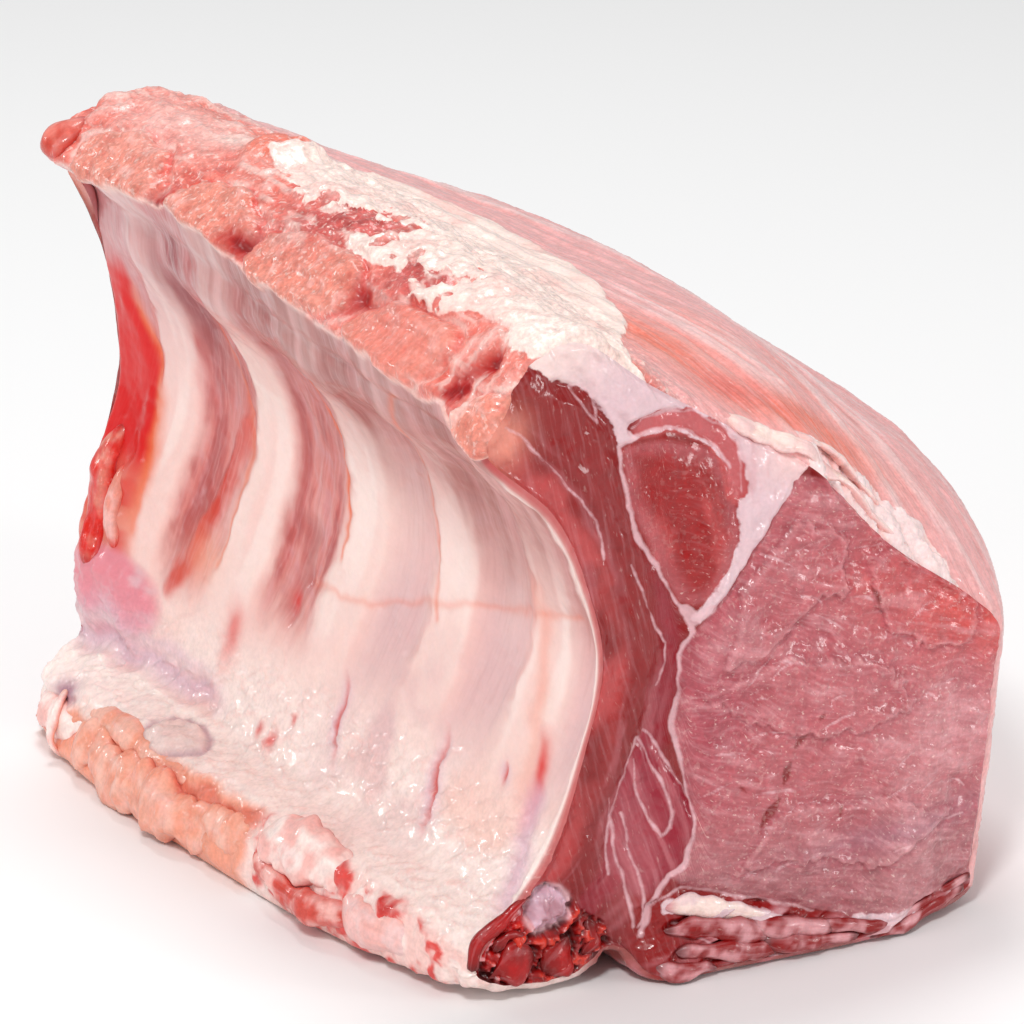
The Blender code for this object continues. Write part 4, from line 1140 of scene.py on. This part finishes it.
def on_skin(s_at, y_at):
    """Points of the finished skin at places (s, y), and its outward normals there."""
    rows_y = side_rows()[0]
    upper = slice(0, ends[3] + 1)
    found = np.zeros((len(s_at), 6))
    for k in range(len(s_at)):
        row = int(np.argmin(np.abs(rows_y - y_at[k])))
        both = np.concatenate([points[row, upper], side_normals[row, upper]], axis=1)
        found[k] = [np.interp(s_at[k], s[row, upper], both[:, axis]) for axis in range(6)]
    return found[:, :3], found[:, 3:]


def strand(path, seed, rough, wrinkle=0, on_cut=False, sides=30):
    """The rings of a closed, lumpy strand that lies on the skin or on the shown cut.

    wrinkle is the depth of the folds across it, and rough that of its lumps. It returns the rings' points, how
    far along and round each point is, and the folds.
    """
    a, b, lift, wide, high = np.array(path, float).T
    if on_cut:
        centre = np.stack([a, NEAR_Y - roll_push(a, b, NEAR_Y + 0 * a), b], axis=1)
        normal = np.tile([0.0, -1.0, 0.0], (len(a), 1))
    else:
        centre, normal = on_skin(a, b)
    length = np.linalg.norm(np.diff(centre, axis=0), axis=1).sum()
    rows = np.column_stack([centre + normal * lift[:, None], normal, wide, high])
    line = spline(rows, max(24, int(length / STRAND_STEP)))
    centre, normal, wide, high = line[:, :3], line[:, 3:6], line[:, 6], line[:, 7]
    along = np.gradient(centre, axis=0)
    along /= np.linalg.norm(along, axis=1)[:, None]
    side = np.cross(along, normal)
    side /= np.linalg.norm(side, axis=1)[:, None]
    up = np.cross(side, along)
    travelled = np.concatenate([[0], np.cumsum(np.linalg.norm(np.diff(centre, axis=0), axis=1))])
    u = travelled / travelled[-1]
    ends_in = 1.2 * (wide + high) / travelled[-1]
    near_end = np.minimum(u, 1 - u) / np.minimum(ends_in, 0.5)
    taper = np.sqrt(1 - (1 - np.clip(near_end, 0, 1)) ** 2)
    taper[0] = taper[-1] = 0.05
    angle = np.linspace(0, 2 * math.pi, sides, endpoint=False)
    out = (wide[:, None, None] * np.cos(angle)[None, :, None] * side[:, None]
           + high[:, None, None] * np.sin(angle)[None, :, None] * up[:, None])
    rings = centre[:, None] + out * taper[:, None, None]
    lumps = rough * (noise(rings, 7, seed, 2) + 0.25 * noise(rings, 2.4, seed + 7, 2))
    bend = 2.5 * noise(rings, 8, seed + 3, 2)
    folds = -wrinkle * np.maximum(0, np.sin(1.25 * travelled[:, None] + bend)) ** 6
    rings = rings + out * ((lumps + folds) * taper[:, None])[..., None]
    shape = rings.shape[:2]
    return rings, np.broadcast_to(travelled[:, None], shape), np.broadcast_to(angle, shape), folds


def strand_paint(rings, travelled, angle, folds, low, high, shaded_colour):
    """Colours of a strand: low in its hollows, high on top as a painted highlight, and the third colour as painted
    shade in its folds, at its ends and its foot.
    """
    p = Paint(rings.shape[:2], low, high)
    top = np.sin(angle)
    # Painted highlight on the strand's top; painted shade under it, in its folds and at its ends
    p.lay(high, ramp(top, -0.1, 0.9) * ramp(noise(rings, 3.2, 301, 3), -0.5, 0.4))
    p.lay(shaded_colour, ramp(-top, -0.25, 0.5) * 0.7)
    p.lay(shaded_colour, ramp(-folds, 0.02, 0.2) * 0.6)
    p.lay(shaded_colour, 0.8 * fall(np.minimum(travelled, travelled.max() - travelled), 0.4, 3))
    p.fleck += 0.3
    p.fibre += 0.4
    p.fibre_at[..., 0] = angle * 1.2
    p.fibre_at[..., 1] = travelled
    return p


def strand_piece(name, material, strands):
    """One mesh of several strands, each closed at its two ends by a fan round a pole."""
    all_points, quads, fans, first = [], [], [], 0
    fields = {key: [] for key in Paint.KEYS}
    for k, (path, settings, colours) in enumerate(strands):
        made = strand(path, 401 + 17 * k + len(name), **settings)
        paint = strand_paint(*made, *colours)
        rings = made[0]
        count, sides = rings.shape[:2]
        index = np.arange(count * sides).reshape(count, sides) + first
        turned = np.roll(index, -1, axis=1)
        quads.append(np.stack([c.ravel() for c in (index[:-1], index[1:], turned[1:], turned[:-1])], axis=1))
        pole = first + count * sides
        fans.append(np.stack([index[0], turned[0], np.full(sides, pole)], axis=1))
        fans.append(np.stack([turned[-1], index[-1], np.full(sides, pole + 1)], axis=1))
        all_points += [rings.reshape(-1, 3), rings[:1].mean(axis=1), rings[-1:].mean(axis=1)]
        for key in Paint.KEYS:
            value = getattr(paint, key).reshape(count, sides, -1)
            fields[key] += [value.reshape(count * sides, -1), value[0, :1], value[-1, :1]]
        first = pole + 2
    fields = {key: np.concatenate(value) for key, value in fields.items()}
    faces = [np.concatenate(quads), np.concatenate(fans)]
    return build_mesh(name, np.concatenate(all_points), faces, fields, material)


ends, base, side_normals = side_grid()
s = distance_round(base, ends)
skin = paint_skin(base, s, base[..., 1])
# The base stays flat, and the loop's two ends meet
height = skin.relief * ramp(base[..., 2], 0, 4)
height[:, -1] = height[:, 0]
points = base + side_normals * height[..., None]

meat = meat_material("meat")
rib_side, back, outer_side = (
    build_grid(name, points[:, ends[first]:ends[last] + 1], skin.fields(slice(ends[first], ends[last] + 1)), meat)
    for name, first, last in (("rib_side", 0, 1), ("crest_and_back", 1, 2), ("side_and_base", 2, 4))
)
near = cut_grid(base[0], points[0], ends, RIB_COLUMNS, TOP_COLUMNS)
near_paint = paint_cut(near)
near[..., 1] -= near_paint.relief * rim_fade(near)
near_cut = build_grid("near_cut", near, near_paint.fields(), meat)

far = cut_grid(base[-1], points[-1], ends, RIB_COLUMNS // 2, TOP_COLUMNS // 2)
far_paint = paint_cut(to_shown_cut(far))
far[..., 1] += far_paint.relief * rim_fade(far) * 0.8
far_cut = build_grid("far_cut", far, far_paint.fields(), meat, flip=True)

fat_rolls = strand_piece("foot_fat", meat, FAT_ROLLS)
foot_meat = strand_piece("foot_and_end_meat", meat, FOOT_MEAT)
frill = strand_piece("frill", meat, FRILL)
dark_meat = meat_material("dark_meat", coat=0.2)
roll_colours, chine_colours = ("roll", "eye_light", "marrow_dark"), ("marrow", "pit", "marrow_dark")
white_strip = strand_piece("roll_fat", meat, [(ROLL_STRIP, ON_CUT, ("fat_cool", "fat_warm", "leaf_light"))])
bundles = strand_piece("roll_meat", dark_meat, [(path, ON_CUT, roll_colours) for path in ROLL_BUNDLES])
shreds = strand_piece("chine_end", dark_meat, [(path, SHREDDED, chine_colours) for path in CHINE_SHREDS])

for piece, slot, nodes in (
    (rib_side, "bone", [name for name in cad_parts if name.startswith("rib")]),
    (back, "lean", []), (outer_side, "lean", []), (near_cut, "lean", ["lean_meat"]), (far_cut, "lean", []),
    (fat_rolls, "fat", []), (foot_meat, "lean", []), (frill, "fat", ["fat_cap"]), (white_strip, "fat", []),
    (bundles, "lean", []), (shreds, "marrow", ["chine_bone"]),
):
    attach(piece, "root")
    if nodes:
        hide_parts(*nodes)


def add_floor():
    mesh = bpy.data.meshes.new("floor")
    mesh.from_pydata([(-4, -4, 0), (4, -4, 0), (4, 4, 0), (-4, 4, 0)], [], [(0, 1, 2, 3)])
    material = bpy.data.materials.new("floor")
    material.use_nodes = True
    shader = material.node_tree.nodes["Principled BSDF"]
    shader.inputs["Base Color"].default_value = (0.93, 0.93, 0.93, 1.0)
    shader.inputs["Roughness"].default_value = 0.9
    mesh.materials.append(material)
    floor = bpy.data.objects.new("floor", mesh)
    floor.location.z = -0.0003
    bpy.context.scene.collection.objects.link(floor)


def add_aimed(name, data, location, direction):
    """A light or camera that looks along a direction."""
    made = bpy.data.objects.new(name, data)
    made.location = location
    made.rotation_mode = "QUATERNION"
    made.rotation_quaternion = direction.to_track_quat("-Z", "Y")
    bpy.context.scene.collection.objects.link(made)
    return made


add_floor()
# Lights: place, the height on the roast's axis that they aim at, size, power
for name, location, aim, size, power in (
    ("key", (-0.55, -0.75, 0.95), 0.05, 0.22, 7.0),
    ("fill", (0.75, -0.95, 0.32), 0.06, 0.25, 2.8),
    ("top", (0.1, 0.35, 1.1), 0.08, 0.4, 4.7),
    ("side", (-1.1, -0.15, 0.4), 0.05, 0.3, 1.0),
    ("glint", (-0.8, 1.0, 0.5), 0.05, 0.18, 1.6),
):
    light = bpy.data.lights.new(name, "AREA")
    light.shape = "DISK"
    light.size = size
    light.energy = power
    add_aimed(name, light, location, Vector((0, 0, aim)) - Vector(location))

world = bpy.data.worlds.new("studio")
bpy.context.scene.world = world
world.use_nodes = True
world.node_tree.nodes["Background"].inputs["Color"].default_value = (1.0, 1.0, 1.0, 1.0)
world.node_tree.nodes["Background"].inputs["Strength"].default_value = 0.42

azimuth, elevation, distance = math.radians(-27), math.radians(19), 1.10
target = Vector((0.00125, 0.01335, 0.055))
towards = Vector((math.sin(azimuth) * math.cos(elevation), -math.cos(azimuth) * math.cos(elevation),
                  math.sin(elevation)))
lens = bpy.data.cameras.new("camera")
lens.lens = 206.0
lens.sensor_width = 36.0
lens.clip_start = 0.05
bpy.context.scene.camera = add_aimed("camera", lens, target + towards * distance, -towards)
bpy.context.scene.view_settings.view_transform = "Standard"
